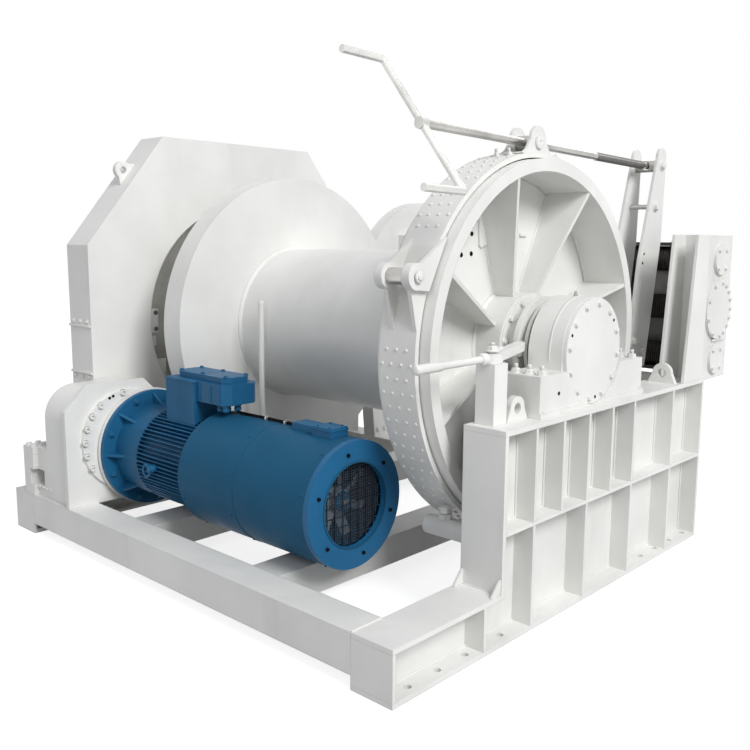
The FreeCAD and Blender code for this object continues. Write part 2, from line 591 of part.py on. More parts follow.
# Drum bearing on the girder
def bearing():
    length = "housing_back + housing_front"
    round_part = cylinder("housing_round", ("-housing_back", "0", "axis_height"), "housing_radius", length, ALONG["X"])
    seat = block("housing_seat", ("-housing_back", "-housing_radius", "girder_height"),
                 (length, "2 * housing_radius", "axis_height - girder_height"))
    foot = block("housing_foot", ("-housing_back", "-bearing_foot", "girder_height"),
                 ("housing_back + bearing_foot_front", "2 * bearing_foot", "bearing_foot_height"))
    sole = block("housing_sole", ("-foot_width / 2", "-bearing_foot - bearing_sole / 4", "girder_height"),
                 ("foot_width / 2 + bearing_sole_front", "2 * bearing_foot + bearing_sole / 2", "bearing_sole"))
    cover_clear = cylinder("cover_clear", ("housing_front", "0", "axis_height"), "cover_radius + 1",
                           "foot_width", ALONG["X"])
    bore = cylinder("housing_bore", ("-housing_back", "0", "axis_height"), "shaft_radius + bearing_play",
                    length, ALONG["X"])
    node(cut("bearing_housing", fuse("housing_outside", round_part, seat, foot, sole), bore, cover_clear),
         "bearing_housing")
    node(cylinder("bearing_cover", ("housing_front", "0", "axis_height"), "cover_radius", "cover_plate", ALONG["X"]),
         "bearing_cover")


# Rope drum, brake wheel and shaft
def drum():
    web_back = "(wheel_web_at + wheel_web / 2)"
    node(cylinder("drum_shaft", ("-casing_face - casing_depth - gear_bearing_depth", "0", "axis_height"),
                  "shaft_radius", "casing_face + casing_depth + gear_bearing_depth + housing_front - 10", ALONG["X"]),
         "drum_shaft")
    barrel = [("-flange_face", "barrel_radius - barrel_wall"), ("-" + web_back, "barrel_radius - barrel_wall"),
              ("-" + web_back, "barrel_radius"), ("-flange_face", "barrel_radius")]
    node(turned_piece("drum_barrel", barrel, AXIS), "drum_barrel")
    gear_front = "-(gear_back - gear_width)"
    inner = "-flange_face - flange_plate"
    flange = [("-flange_face - flange_depth", "flange_radius - flange_plate"), (inner, "flange_radius - flange_plate"),
              (inner, "neck_radius"), (gear_front, "neck_radius"), (gear_front, "neck_radius - neck_wall"),
              (inner, "neck_radius - neck_wall"), (inner, "shaft_radius"), ("-flange_face", "shaft_radius"),
              ("-flange_face", "flange_radius"), ("-flange_face - flange_depth", "flange_radius")]
    node(turned_piece("drum_flange", flange, AXIS), "drum_flange")
    rim = [("-rim_face - rim_width", "rim_inner"), ("-rim_face", "rim_inner"), ("-rim_face", "wheel_radius"),
           ("-rim_face - rim_width", "wheel_radius")]
    node(turned_piece("brake_wheel_rim", rim, AXIS), "brake_wheel_rim")
    web = [("-" + web_back, "shaft_radius"), ("-hub_face", "shaft_radius"), ("-hub_face", "hub_radius"),
           ("-wheel_web_at + wheel_web / 2", "hub_radius"), ("-wheel_web_at + wheel_web / 2", "rim_inner"),
           ("-" + web_back, "rim_inner")]
    node(turned_piece("brake_wheel_web", web, AXIS), "brake_wheel_web")
    ribs = []
    back = "-wheel_web_at + wheel_web / 2"
    rib = [(back, "hub_radius"), ("-hub_face - rib_hub_step", "hub_radius"),
           ("-hub_face - rib_nose_step", "rib_nose"), ("-rim_face - rib_shoulder_step", "rib_shoulder"),
           ("-rim_face - rib_rim_step", "rim_inner - face_gap"), (back, "rim_inner - face_gap")]
    for i in range(8):
        angle = "rib_start + %d * rib_step" % i
        ribs.append(plate("brake_wheel_rib_%d" % (i + 1), "XZ_Plane", rib, "rib_plate",
                          ("0", "rib_plate / 2 * sin(%s)" % angle, "axis_height + rib_plate / 2 * cos(%s)" % angle),
                          turn("X", "90 - (%s)" % angle)))
    node(group("brake_wheel_ribs", *ribs), "brake_wheel_ribs")


def gear_wheel():
    """Spur gear: a disc with trapezium teeth repeated about the axis."""
    sizes = {alias: sheet.get(alias) for alias in ("gear_back", "gear_width", "gear_root", "gear_radius",
                                                   "gear_teeth", "shaft_radius", "girder_height",
                                                   "bearing_rise")}
    root = sizes["gear_root"]
    tip = sizes["gear_radius"]
    count = int(sizes["gear_teeth"])
    pitch = 2 * math.pi / count
    corners = []
    for i in range(count):
        for radius, share in ((root, -0.30), (tip, -0.15), (tip, 0.15), (root, 0.30)):
            angle = (i + share) * pitch
            corners.append(FreeCAD.Vector(0, radius * math.cos(angle), radius * math.sin(angle)))
    ring = Part.makePolygon(corners + corners[:1])
    bore = Part.Wire(Part.makeCircle(sizes["shaft_radius"], FreeCAD.Vector(0, 0, 0), FreeCAD.Vector(1, 0, 0)))
    face = Part.Face(Part.Wire(ring)).cut(Part.Face(bore))
    solid = face.extrude(FreeCAD.Vector(sizes["gear_width"], 0, 0))
    gear = doc.addObject("Part::Feature", "gear_wheel")
    gear.Shape = solid.Solids[0]
    gear.Placement = FreeCAD.Placement(FreeCAD.Vector(-sizes["gear_back"], 0, sizes["girder_height"] + sizes["bearing_rise"]),
                                       FreeCAD.Rotation())
    node(gear, "gear_wheel")


def clutch_sleeve():
    bore = "shaft_radius + face_gap"
    points = [("-sleeve_back", bore), ("-sleeve_front", bore), ("-sleeve_front", "sleeve_collar - 15"),
              ("-groove_front", "sleeve_collar - 15"), ("-groove_front", "sleeve_neck"),
              ("-groove_back", "sleeve_neck"), ("-groove_back", "sleeve_collar"),
              ("-groove_back - 24", "sleeve_collar"), ("-groove_back - 24", "sleeve_neck + 20"),
              ("-sleeve_back", "sleeve_neck + 20")]
    node(turned_piece("clutch_sleeve", points, AXIS), "clutch_sleeve")


# Gear casing
def casing():
    half = "casing_half"
    top = "axis_height + casing_top"
    shoulder = "axis_height + casing_shoulder"
    corners = [("-" + half, "foot_height"), (half, "foot_height"), (half, shoulder), ("casing_top_half", top),
               ("-casing_top_half", top), ("-" + half, shoulder)]
    front = plate("casing_front_sheet", "YZ_Plane", corners, "casing_plate", ("-casing_face - casing_plate", "0", "0"))
    mouth = cylinder("casing_mouth", ("-casing_face - casing_plate", "0", "axis_height"), "casing_opening",
                     "casing_plate", ALONG["X"])
    node(cut("casing_front_plate", front, mouth), "casing_front_plate")
    outside = plate("casing_outside", "YZ_Plane", corners, "casing_depth - casing_plate",
                    ("-casing_face - casing_depth", "0", "0"))
    inner_half = "(casing_half - casing_plate)"
    inner_top = "(%s - casing_plate)" % top
    inner_shoulder = "(%s - %s)" % (shoulder, shift_down())
    inner_top_half = "(casing_top_half - %s)" % shift_side()
    inner = [("-" + inner_half, "foot_height + casing_plate"), (inner_half, "foot_height + casing_plate"),
             (inner_half, inner_shoulder), (inner_top_half, inner_top), ("-" + inner_top_half, inner_top),
             ("-" + inner_half, inner_shoulder)]
    hollow = plate("casing_hollow", "YZ_Plane", inner, "casing_depth - 2 * casing_plate",
                   ("-casing_face - casing_depth + casing_plate", "0", "0"))
    hole = cylinder("casing_shaft_hole", ("-casing_face - casing_depth", "0", "axis_height"),
                    "shaft_radius + running_gap", "casing_plate", ALONG["X"])
    node(cut("casing_shell", outside, hollow, hole), "casing_shell")
    node(cut("gear_end_bearing",
             cylinder("gear_bearing_round", ("-casing_face - casing_depth - gear_bearing_depth", "0", "axis_height"),
                      "gear_bearing_radius", "gear_bearing_depth", ALONG["X"]),
             cylinder("gear_bearing_bore", ("-casing_face - casing_depth - gear_bearing_depth", "0", "axis_height"),
                      "shaft_radius + bearing_play", "gear_bearing_depth", ALONG["X"])), "gear_end_bearing")


def shift_down():
    """Fall of the inner shoulder corner below the outer one."""
    slope = "sqrt((casing_half - casing_top_half) ^ 2 + (casing_top - casing_shoulder) ^ 2)"
    return "casing_plate * (%s - (casing_top - casing_shoulder)) / (casing_half - casing_top_half)" % slope


def shift_side():
    """Inward shift of the inner top corner from the outer one."""
    slope = "sqrt((casing_half - casing_top_half) ^ 2 + (casing_top - casing_shoulder) ^ 2)"
    return "casing_plate * (%s - (casing_half - casing_top_half)) / (casing_top - casing_shoulder)" % slope


# Gearbox
def gearbox():
    left = "-gearbox_at - gearbox_half"
    right = "-gearbox_at + gearbox_half"
    corners = [(left, "foot_height"), (right, "foot_height"), (right, "gearbox_top - gearbox_chamfer"),
               (right + " - gearbox_chamfer", "gearbox_top"), (left + " + gearbox_chamfer", "gearbox_top"),
               (left, "gearbox_top - gearbox_chamfer")]
    front = plate("gearbox_front", "YZ_Plane", corners, "gearbox_plate", ("-gearbox_face - gearbox_plate", "0", "0"))
    inner_left = left + " + gearbox_inset"
    inner_right = right + " - gearbox_inset"
    depth = "gearbox_depth - gearbox_plate"
    start = "-gearbox_face - gearbox_depth"
    shoulder = "gearbox_top - gearbox_inset - gearbox_round"
    parts = [front,
             block("gearbox_body_low", (start, inner_left, "foot_height"),
                   (depth, "2 * gearbox_half - 2 * gearbox_inset", shoulder + " - foot_height")),
             block("gearbox_body_high", (start, inner_left + " + gearbox_round", "foot_height"),
                   (depth, "2 * (gearbox_half - gearbox_inset - gearbox_round)",
                    "gearbox_top - gearbox_inset - foot_height"))]
    for name, y in (("left", inner_left + " + gearbox_round"), ("right", inner_right + " - gearbox_round")):
        parts.append(cylinder("gearbox_corner_" + name, (start, y, shoulder), "gearbox_round", depth, ALONG["X"]))
    rear = block("gearbox_rear", (start + " - bracket_depth", inner_left, "foot_height"),
                 ("bracket_depth", "gearbox_at + gearbox_half - gearbox_inset - casing_half - face_gap",
                  "bracket_top - foot_height"))
    post = block("gearbox_rear_post", (start + " - bracket_depth", FRONT, "foot_height"),
                 ("bracket_post", "frame_front - casing_half - face_gap", "bracket_top - foot_height"))
    window = block("gearbox_window", ("-bracket_window_at - bracket_window", FRONT, "bracket_window_foot"),
                   ("bracket_window", "frame_front" + inner_left + " + bracket_window_depth",
                    "bracket_window_height"))
    node(cut("gearbox_case", fuse("gearbox_outside", *(parts + [rear, post])), window), "gearbox_case")
    cover = cylinder("gearbox_cover_disc", ("-gearbox_face", "-gearbox_cover_at", "gearbox_cover_height"),
                     "gearbox_cover_radius", "gearbox_cover_plate", ALONG["X"])
    adapter = cylinder("motor_adapter", ("-gearbox_face", "-motor_at", "motor_height"), "adapter_radius",
                       "gearbox_face - motor_flange_face - motor_flange_plate", ALONG["X"])
    node(fuse("gearbox_cover", cover, adapter), "gearbox_cover")


# Motor
def motor():
    at = ("-motor_flange_face", "-motor_at", "motor_height")
    disc = cylinder("flange_disc", ("-motor_flange_face - motor_flange_plate", at[1], at[2]),
                    "motor_flange_radius", "motor_flange_plate", ALONG["X"])
    shield = cylinder("motor_end_shield", ("-motor_flange_face", at[1], at[2]), "motor_radius",
                      "motor_flange_face - shield_end", ALONG["X"])
    core = cylinder("motor_core", at, "fin_root", "motor_flange_face - cowl_start", ALONG["X"])
    parts = [disc, shield, core]
    gusset = [("0", "fin_root"), ("gusset_length", "fin_root"), ("gusset_length", "motor_radius"),
              ("0", "gusset_reach")]
    gussets = []
    for i in range(8):
        angle = "%d * 45" % i
        gussets.append(plate("flange_gusset_%d" % (i + 1), "XZ_Plane", gusset, "gusset_plate",
                             ("-motor_flange_face", "-motor_at + gusset_plate / 2 * cos(%s)" % angle,
                              "motor_height + gusset_plate / 2 * sin(%s)" % angle), turn("X", angle)))
    # the gusset that faces the drum is relieved round the drum flange
    relief = cylinder("drum_flange_relief", ("-flange_face - flange_depth - running_gap", "0", "axis_height"),
                      "flange_radius + running_gap", "flange_depth + 2 * running_gap", ALONG["X"])
    gussets[-1] = cut("flange_gusset_relieved", gussets[-1], relief)
    parts += gussets
    for i in range(COOLING_FINS):
        angle = "%d * 360 / %d" % (i, COOLING_FINS)
        parts.append(block("cooling_fin_%d" % (i + 1),
                           ("-shield_end", "-motor_at - fin_plate / 2 * cos(%s)" % angle,
                            "motor_height - fin_plate / 2 * sin(%s)" % angle),
                           ("shield_end - cowl_start", "fin_plate", "fin_tip"), turn("X", angle)))
    node(fuse("motor_frame", *parts), "motor_frame")
    length = "cowl_start - cowl_end"
    outside = cylinder("cowl_outside", ("-cowl_start", at[1], at[2]), "cowl_radius", length, ALONG["X"])
    inside = cylinder("cowl_inside", ("-cowl_start + cowl_wall", at[1], at[2]), "cowl_radius - cowl_wall",
                      length + " - cowl_wall", ALONG["X"])
    node(cut("motor_cowl", outside, inside), "motor_cowl")
    ring = cylinder("fan_ring_outside", ("-cowl_end", at[1], at[2]), "cowl_radius", "fan_ring_depth", ALONG["X"])
    inlet = cylinder("fan_ring_inlet", ("-cowl_end", at[1], at[2]), "fan_opening", "fan_ring_depth", ALONG["X"])
    inlet_ring = cut("cowl_end_ring", ring, inlet)
    # grille of upright and level wires welded behind the inlet
    wires = []
    for i in range(-3, 4):
        half = "sqrt((fan_opening + guard_seat) ^ 2 - (%d * guard_pitch) ^ 2)" % i
        offset = " + %d * guard_pitch - guard_wire / 2" % i
        wires.append(block("guard_upright_%d" % (i + 4), ("-cowl_end - guard_wire", "-motor_at" + offset,
                                                          "motor_height - " + half),
                           ("guard_wire", "guard_wire", "2 * " + half)))
        wires.append(block("guard_level_%d" % (i + 4), ("-cowl_end - 2 * guard_wire", "-motor_at - " + half,
                                                        "motor_height" + offset),
                           ("guard_wire", "2 * " + half, "guard_wire")))
    node(group("fan_guard", inlet_ring, *wires), "fan_guard")
    # fan on the end of the rotor shaft
    pieces = [cylinder("motor_shaft_end", ("-cowl_start + cowl_wall", at[1], at[2]), "motor_shaft",
                       "cowl_start - cowl_wall - fan_at + fan_depth / 2", ALONG["X"]),
              cylinder("fan_hub_round", ("-fan_at - fan_depth / 2", at[1], at[2]), "fan_hub", "fan_depth", ALONG["X"])]
    for i in range(FAN_BLADES):
        turned = turn("X", "%d * 360 / %d" % (i, FAN_BLADES)) + " * " + turn("Z", "fan_pitch")
        pieces.append(block("fan_blade_%d" % (i + 1), ("-fan_at", at[1], at[2]),
                            ("fan_blade", "fan_depth", "fan_radius"), turned))
    node(fuse("motor_fan", *pieces), "motor_fan")
    node(group("terminal_boxes", main_box(), small_box()), "terminal_boxes")


def saddled(label, left, right, radius, *parts):
    """Box on the motor, cut to the round that it stands on."""
    saddle = cylinder(label + "_saddle", ("-" + left, "-motor_at", "motor_height"), radius,
                      left + " - " + right, ALONG["X"])
    return cut(label, fuse(label + "_outside", *parts), saddle)


def main_box():
    """Terminal box: a column on the motor, an extension with cut corners and a raised lid."""
    column = block("main_box_column", ("-box_left", "-box_front", "motor_height"),
                   ("box_left - box_step", "box_front - box_back", "box_rim - motor_height"))
    front = "-box_front + box_inset"
    corners = [("-box_step", front), ("-box_right - box_chamfer", front), ("-box_right", front + " + box_chamfer"),
               ("-box_right", "-box_back - box_chamfer"), ("-box_right - box_chamfer", "-box_back"),
               ("-box_step", "-box_back")]
    extension = plate("main_box_extension", "XY_Plane", corners, "box_rim - box_floor", ("0", "0", "box_floor"))
    rim = "(box_chamfer + lid_inset)"
    lid = [("-box_left + lid_inset", front + " + " + rim), ("-box_left + " + rim, front + " + lid_inset"),
           ("-box_right - " + rim, front + " + lid_inset"), ("-box_right - lid_inset", front + " + " + rim),
           ("-box_right - lid_inset", "-box_back - " + rim), ("-box_right - " + rim, "-box_back - lid_inset"),
           ("-box_left + " + rim, "-box_back - lid_inset"), ("-box_left + lid_inset", "-box_back - " + rim)]
    cover = plate("main_box_lid", "XY_Plane", lid, "box_top - box_rim", ("0", "0", "box_rim"))
    return saddled("main_box", "box_left", "box_right", "fin_tip + face_gap", column, extension, cover)


def small_box():
    low = block("small_box_low", ("-small_box_left", "-small_box_front + box_inset", "motor_height"),
                ("small_box_left - small_box_step", "small_box_front - small_box_back - box_inset",
                 "small_box_top - box_inset / 2 - motor_height"))
    high = block("small_box_high", ("-small_box_step", "-small_box_front", "motor_height"),
                 ("small_box_step - small_box_right", "small_box_front - small_box_back",
                  "small_box_top - motor_height"))
    return saddled("small_box", "small_box_left", "small_box_right", "cowl_radius", low, high)


# Band brake
def band_half(label, start, stop, ears):
    """Half band from angle start to angle stop, measured from -Y over the top; stop is the smaller turn."""
    inner = "wheel_radius + band_gap"
    outer = inner + " + band_plate"
    at = ("-band_back", "0", "axis_height")
    # a cylinder sector along X starts straight down and opens towards +Y
    turned = turn("X", "270 - (%s)" % stop) + " * " + ALONG["X"]
    ring = cylinder(label + "_outer", at, outer, "band_width", turned, "(%s) - (%s)" % (stop, start))
    core = cylinder(label + "_core", at, inner, "band_width", ALONG["X"])
    return cut(label, fuse(label + "_solid", ring, *ears) if ears else ring, core)


def polar(radius, angle):
    """Place at a radius and angle about the drum axis; 0 is -Y and 90 is up."""
    return "-(%s) * cos(%s)" % (radius, angle), "axis_height + (%s) * sin(%s)" % (radius, angle)


def ear(label, x, root, reach, angle, side, near, far, head, bore="pin_radius + face_gap"):
    """Ear of the band: near and far are angles from its pin to the ends of its root, far on the given side."""
    other = "-" if side == "+" else "+"
    half_head = "asin((%s) / (%s)) / 1 deg" % (head, reach)
    points = [polar(root, "%s %s %s" % (angle, other, near)), polar(reach, "%s %s %s" % (angle, other, half_head)),
              polar(reach, "%s %s %s" % (angle, side, half_head)), polar(root, "%s %s %s" % (angle, side, far))]
    pin = polar(reach, angle)
    web = plate(label + "_web", "YZ_Plane", points, "ear_plate", (x, "0", "0"))
    round_head = cylinder(label + "_head", (x, pin[0], pin[1]), head, "ear_plate", ALONG["X"])
    hole = cylinder(label + "_hole", (x, pin[0], pin[1]), bore, "ear_plate", ALONG["X"])
    return cut(label, fuse(label + "_outside", web, round_head), hole)


def band_brake():
    reach = "(wheel_radius + hinge_reach)"
    front = "-band_back + band_width"
    root = "(wheel_radius + band_gap + band_plate / 2)"
    outer = "band_outer"
    sunk = "(wheel_radius + band_gap + band_plate * 3 / 4)"
    anchor_angle = "(upper_end - 2)"
    hinge_back = "-band_back + hinge_inset"
    upper_ears = [ear("upper_ear_front", front, root, reach, "hinge_angle", "+", "2", "14", "ear_head"),
                  ear("upper_ear_back", hinge_back + " - ear_plate", sunk, reach, "hinge_angle", "+",
                      "-hinge_split", "14", "ear_head"),
                  ear("anchor_ear", "-screw_at - ear_plate / 2", sunk, reach, anchor_angle, "-", "2", "12",
                      "anchor_head")]
    upper = band_half("brake_band_upper", "hinge_angle + hinge_split", "upper_end", upper_ears)
    node(upper, "brake_band_upper")
    tip = "sqrt(lever_tip_at ^ 2 + (axis_height - lever_tip_height) ^ 2)"
    tip_angle = "(180 + atan((axis_height - lever_tip_height) / lever_tip_at) / 1 deg)"
    lower_ears = [ear("lower_ear_front", front + " - ear_plate", sunk, reach, "hinge_angle", "-", "2", "14",
                      "ear_head"),
                  ear("lower_ear_back", hinge_back, sunk, reach, "hinge_angle", "-", "2", "14", "ear_head"),
                  ear("lower_end_ear", "-screw_at - ear_plate / 2", sunk, tip, tip_angle, "+", "3", "16",
                      "lever_pin + tip_play + ear_plate", "lever_pin + tip_play")]
    lower = band_half("lower_band_whole", "lower_end", "360 + hinge_angle - hinge_split", lower_ears)
    # the ears pass over the end of the upper half without touching it
    clear = cylinder("lower_ear_clear", ("-band_back", "0", "axis_height"), outer + " + face_gap", "band_width",
                     turn("X", "270 - (hinge_angle + 10)") + " * " + ALONG["X"], "10 + hinge_split")
    node(cut("brake_band_lower", lower, clear), "brake_band_lower")
    pin = polar(reach, "hinge_angle")
    span = "(band_width - hinge_inset)"
    hinge = fuse("hinge_pin",
                 cylinder("hinge_pin_round", (hinge_back + " - ear_plate - 8", pin[0], pin[1]), "pin_radius",
                          span + " + 2 * ear_plate + 16", ALONG["X"]),
                 cylinder("hinge_pin_tube", (hinge_back + " + ear_plate + face_gap", pin[0], pin[1]), "hinge_tube",
                          span + " - 2 * ear_plate - 2 * face_gap", ALONG["X"]))
    anchor = polar(reach, anchor_angle)
    anchor_pin = cylinder("anchor_pin", ("-screw_at - link_spread / 2 - link_plate / 2 - 6", anchor[0], anchor[1]),
                          "pin_radius", "link_spread + link_plate + 12", ALONG["X"])
    node(group("band_pins", hinge, anchor_pin), "band_pins")


def strap(label, x, first, last, first_bore, last_bore, half, thickness):
    """Flat strap between two pins in a plane across X."""
    run = "sqrt((%s - (%s)) ^ 2 + (%s - (%s)) ^ 2)" % (last[0], first[0], last[1], first[1])
    lean = "atan2(%s - (%s); %s - (%s))" % (last[1], first[1], last[0], first[0])
    turned = turn("X", lean)
    bar = block(label + "_bar", ("0", "0", "-" + half), (thickness, run, "2 * " + half))
    head = cylinder(label + "_head", ("0", "0", "0"), half, thickness, ALONG["X"])
    foot = cylinder(label + "_foot", ("0", run, "0"), half, thickness, ALONG["X"])
    bore = cylinder(label + "_bore", ("0", "0", "0"), first_bore, thickness, ALONG["X"])
    last_hole = cylinder(label + "_hole", ("0", run, "0"), last_bore, thickness, ALONG["X"])
    whole = cut(label, fuse(label + "_outside", bar, head, foot), bore, last_hole)
    return place(whole, (x, first[0], first[1]), turned)


def brake_screw():
    rise = "tan(screw_tilt)"
    axis_turn = turn("X", "-90 - screw_tilt")
    front_height = "screw_height + screw_front * " + rise
    length = "(screw_front + screw_rear) / cos(screw_tilt)"
    node(cylinder("brake_screw", ("-screw_at", "-screw_front", front_height), "screw_radius", length, axis_turn),
         "brake_screw")
    # crank: a bar through the end of the screw with a grip at each end
    bar = cylinder("crank_bar", ("-crank_reach * cos(crank_angle)", "0", "-crank_reach * sin(crank_angle)"),
                   "crank_bar", "2 * crank_reach", turn("Y", "90 - crank_angle"))
    pieces = [bar]
    for name, sign in (("upper", ""), ("lower", "-")):
        end = (sign + "crank_reach * cos(crank_angle)", "0", sign + "crank_reach * sin(crank_angle)")
        pieces.append(cylinder(name + "_grip", end, "crank_bar", "grip_length", turn("X", "90")))
        ball = doc.addObject("Part::Sphere", name + "_elbow")
        ball.setExpression("Radius", bound("crank_bar"))
        pieces.append(place(ball, end))
    pieces.append(cylinder("crank_boss", ("0", "crank_gap - boss_length", "0"), "boss_radius", "boss_length",
                           turn("X", "-90")))
    seat = cylinder("crank_seat", ("0", "0", "0"), "screw_radius", "crank_gap", turn("X", "-90"))
    crank = cut("brake_crank", fuse("crank_outside", *pieces), seat)
    node(place(crank, ("-screw_at", "-screw_front", front_height), turn("X", "-screw_tilt")), "brake_crank")
    # bracket on the band with its trunnion
    foot = "axis_height + wheel_radius + band_gap"
    apex = "bracket_apex - bracket_head"
    waist = foot + " + bracket_waist_rise"
    corners = [("-bracket_half", foot), ("bracket_half", foot), ("bracket_waist", waist), ("bracket_head", apex),
               ("-bracket_head", apex), ("-bracket_waist", waist)]
    sides = []
    clear = cylinder("bracket_clear", ("-band_back", "0", "axis_height"),
                     "band_outer + face_gap", "band_width", ALONG["X"])
    for name, x in (("front", "-screw_at + bracket_spread / 2 - bracket_plate / 2"),
                    ("back", "-screw_at - bracket_spread / 2 - bracket_plate / 2")):
        side = plate("bracket_web_" + name, "YZ_Plane", corners, "bracket_plate", (x, "0", "0"))
        head = cylinder("bracket_head_" + name, (x, "0", apex), "bracket_head", "bracket_plate", ALONG["X"])
        hole = cylinder("bracket_hole_" + name, (x, "0", "screw_height"), "pin_radius + face_gap", "bracket_plate",
                        ALONG["X"])
        sides.append(cut("screw_bracket_" + name, fuse("bracket_side_" + name, side, head), hole, clear))
    node(group("screw_bracket", *sides), "screw_bracket")
    inside = "bracket_spread - bracket_plate - 2"
    block_part = cylinder("trunnion_round", ("-screw_at - (%s) / 2" % inside, "0", "screw_height"),
                          "trunnion_radius", inside, ALONG["X"])
    journal = cylinder("trunnion_journal", ("-screw_at - bracket_spread / 2 - bracket_plate", "0", "screw_height"),
                       "pin_radius", "bracket_spread + 2 * bracket_plate", ALONG["X"])
    bore = cylinder("trunnion_bore", ("-screw_at", "-2 * trunnion_radius", "screw_height + 2 * trunnion_radius * " + rise),
                    "screw_radius + face_gap", "4 * trunnion_radius", axis_turn)
    node(cut("screw_trunnion", fuse("trunnion_outside", block_part, journal), bore), "screw_trunnion")


def brake_lever():
    corners = [("lever_top_at + lever_head", "lever_head_height"), ("lever_elbow_back", "lever_elbow_height + 82"),
               ("lever_pivot_at + 43", "lever_pivot_height - 63"), ("lever_pivot_at + 33", "lever_pivot_height - 75"),
               ("lever_tip_at - 37", "lever_tip_height - 15"), ("lever_elbow_front", "lever_elbow_height"),
               ("lever_top_at - lever_head", "lever_head_height")]
    nut_height = "(screw_height - lever_top_at * tan(screw_tilt))"
    sides = []
    for name, x in (("front", "-screw_at + lever_spread / 2 - lever_plate / 2"),
                    ("back", "-screw_at - lever_spread / 2 - lever_plate / 2")):
        side = plate("lever_web_" + name, "YZ_Plane", corners, "lever_plate", (x, "0", "0"))
        head = cylinder("lever_head_" + name, (x, "lever_top_at", "lever_head_height"), "lever_head", "lever_plate",
                        ALONG["X"])
        pivot = cylinder("lever_pivot_hole_" + name, (x, "lever_pivot_at", "lever_pivot_height"),
                         "lever_pin + face_gap", "lever_plate", ALONG["X"])
        sides.append(cut("lever_side_" + name, fuse("lever_outline_" + name, side, head), pivot))
    node(group("brake_lever_plates", *sides), "brake_lever_plates")
    inside = "(lever_spread - lever_plate)"
    nut = cylinder("nut_round", ("-screw_at - %s / 2" % inside, "lever_top_at", nut_height), "nut_radius", inside,
                   ALONG["X"])
    bore = cylinder("nut_bore", ("-screw_at", "lever_top_at - 2 * nut_radius",
                                 nut_height + " + 2 * nut_radius * tan(screw_tilt)"),
                    "screw_radius + nut_play", "4 * nut_radius", turn("X", "-90 - screw_tilt"))
    node(cut("lever_nut", nut, bore), "lever_nut")
    spacer = cylinder("lever_spacer", ("-screw_at - %s / 2" % inside, "spacer_at", "spacer_height"), "spacer_radius",
                      inside, ALONG["X"])
    tip_pin = cylinder("lever_tip_pin", ("-screw_at - %s / 2" % inside, "lever_tip_at", "lever_tip_height"),
                       "lever_pin", inside, ALONG["X"])
    node(group("lever_pins", spacer, tip_pin), "lever_pins")
    # fixed seat of the lever beside the girder
    beam = block("seat_beam", ("-screw_at - seat_overhang", "frame_rear - seat_depth", "girder_height - seat_height"),
                 ("screw_at + seat_overhang - foot_width / 2", "seat_depth", "seat_height"))
    cheek = block("seat_cheek", ("-screw_at - seat_cheek / 2", "lever_pivot_at - seat_head", "girder_height"),
                  ("seat_cheek", "2 * seat_head", "lever_pivot_height - girder_height"))
    head = cylinder("seat_head", ("-screw_at - seat_cheek / 2", "lever_pivot_at", "lever_pivot_height"),
                    "seat_head", "seat_cheek", ALONG["X"])
    pin = cylinder("lever_pivot_pin", ("-screw_at - lever_spread / 2 - lever_plate", "lever_pivot_at",
                                       "lever_pivot_height"), "lever_pin", "lever_spread + 2 * lever_plate",
                   ALONG["X"])
    node(fuse("lever_seat", beam, cheek, head, pin), "lever_seat")
    anchor = polar("(wheel_radius + hinge_reach)", "(upper_end - 2)")
    straps = []
    for name, x in (("front", "-screw_at + link_spread / 2 - link_plate / 2"),
                    ("back", "-screw_at - link_spread / 2 - link_plate / 2")):
        straps.append(strap("anchor_strap_" + name, x, ("lever_pivot_at", "lever_pivot_height"), anchor,
                            "lever_pin + face_gap", "pin_radius + face_gap", "link_half", "link_plate"))
    node(group("anchor_links", *straps), "anchor_links")


def clutch_lever():
    half = "post_width / 2"
    post = block("post_square", ("-post_offset - " + half, "-post_at - " + half, "girder_height"),
                 ("post_width", "post_width", "post_height"))
    pin = cylinder("post_pin", ("-post_offset", "-post_at", "girder_height + post_height"), "clutch_pin",
                   "clutch_head + 12", ALONG["Z"])
    node(fuse("clutch_post", post, pin), "clutch_post")
    base = "girder_height + post_height + face_gap"
    head = cylinder("clutch_head_round", ("-post_offset", "-post_at", base), "clutch_head_radius", "clutch_head",
                    ALONG["Z"])
    groove = "(groove_back + groove_front) / 2"
    shoe = "(sleeve_neck + running_gap)"
    reach = "(post_at - %s - shoe_depth / 2)" % shoe
    across = "(%s - post_offset)" % groove
    run = "sqrt(%s ^ 2 + %s ^ 2)" % (reach, across)
    lean = "atan2(%s; -%s)" % (reach, across)
    arm = block("clutch_arm", ("0", "-arm_width / 2", "0"), (run, "arm_width", "clutch_head"))
    place(arm, ("-post_offset + arm_width / 2 * sin(%s)" % lean, "-post_at - arm_width / 2 * cos(%s)" % lean, base),
          turn("Z", lean))
    foot = block("clutch_shoe", ("-%s - shoe_plate / 2" % groove, "-%s - shoe_depth" % shoe, base + " - 25"),
                 ("shoe_plate", "shoe_depth", "clutch_head + 25"))
    trim_front = block("arm_trim_front", ("-%s + shoe_plate / 2" % groove, "-sleeve_collar - running_gap", base),
                       ("100", "sleeve_collar", "clutch_head"))
    trim_back = block("arm_trim_back", ("-%s - shoe_plate / 2 - 100" % groove, "-sleeve_collar - running_gap", base),
                      ("100", "sleeve_collar", "clutch_head"))
    bore = cylinder("clutch_bore", ("-post_offset", "-post_at", base), "clutch_pin + face_gap", "clutch_head",
                    ALONG["Z"])
    handle = cylinder("clutch_handle", ("-post_offset", "-handle_reach", base + " + clutch_head / 2"),
                      "handle_radius", "handle_reach - post_at - clutch_head_radius / 2", ALONG["Y"])
    node(cut("clutch_lever", fuse("fork_outside", head, arm, foot, handle), bore, trim_front, trim_back),
         "clutch_lever")


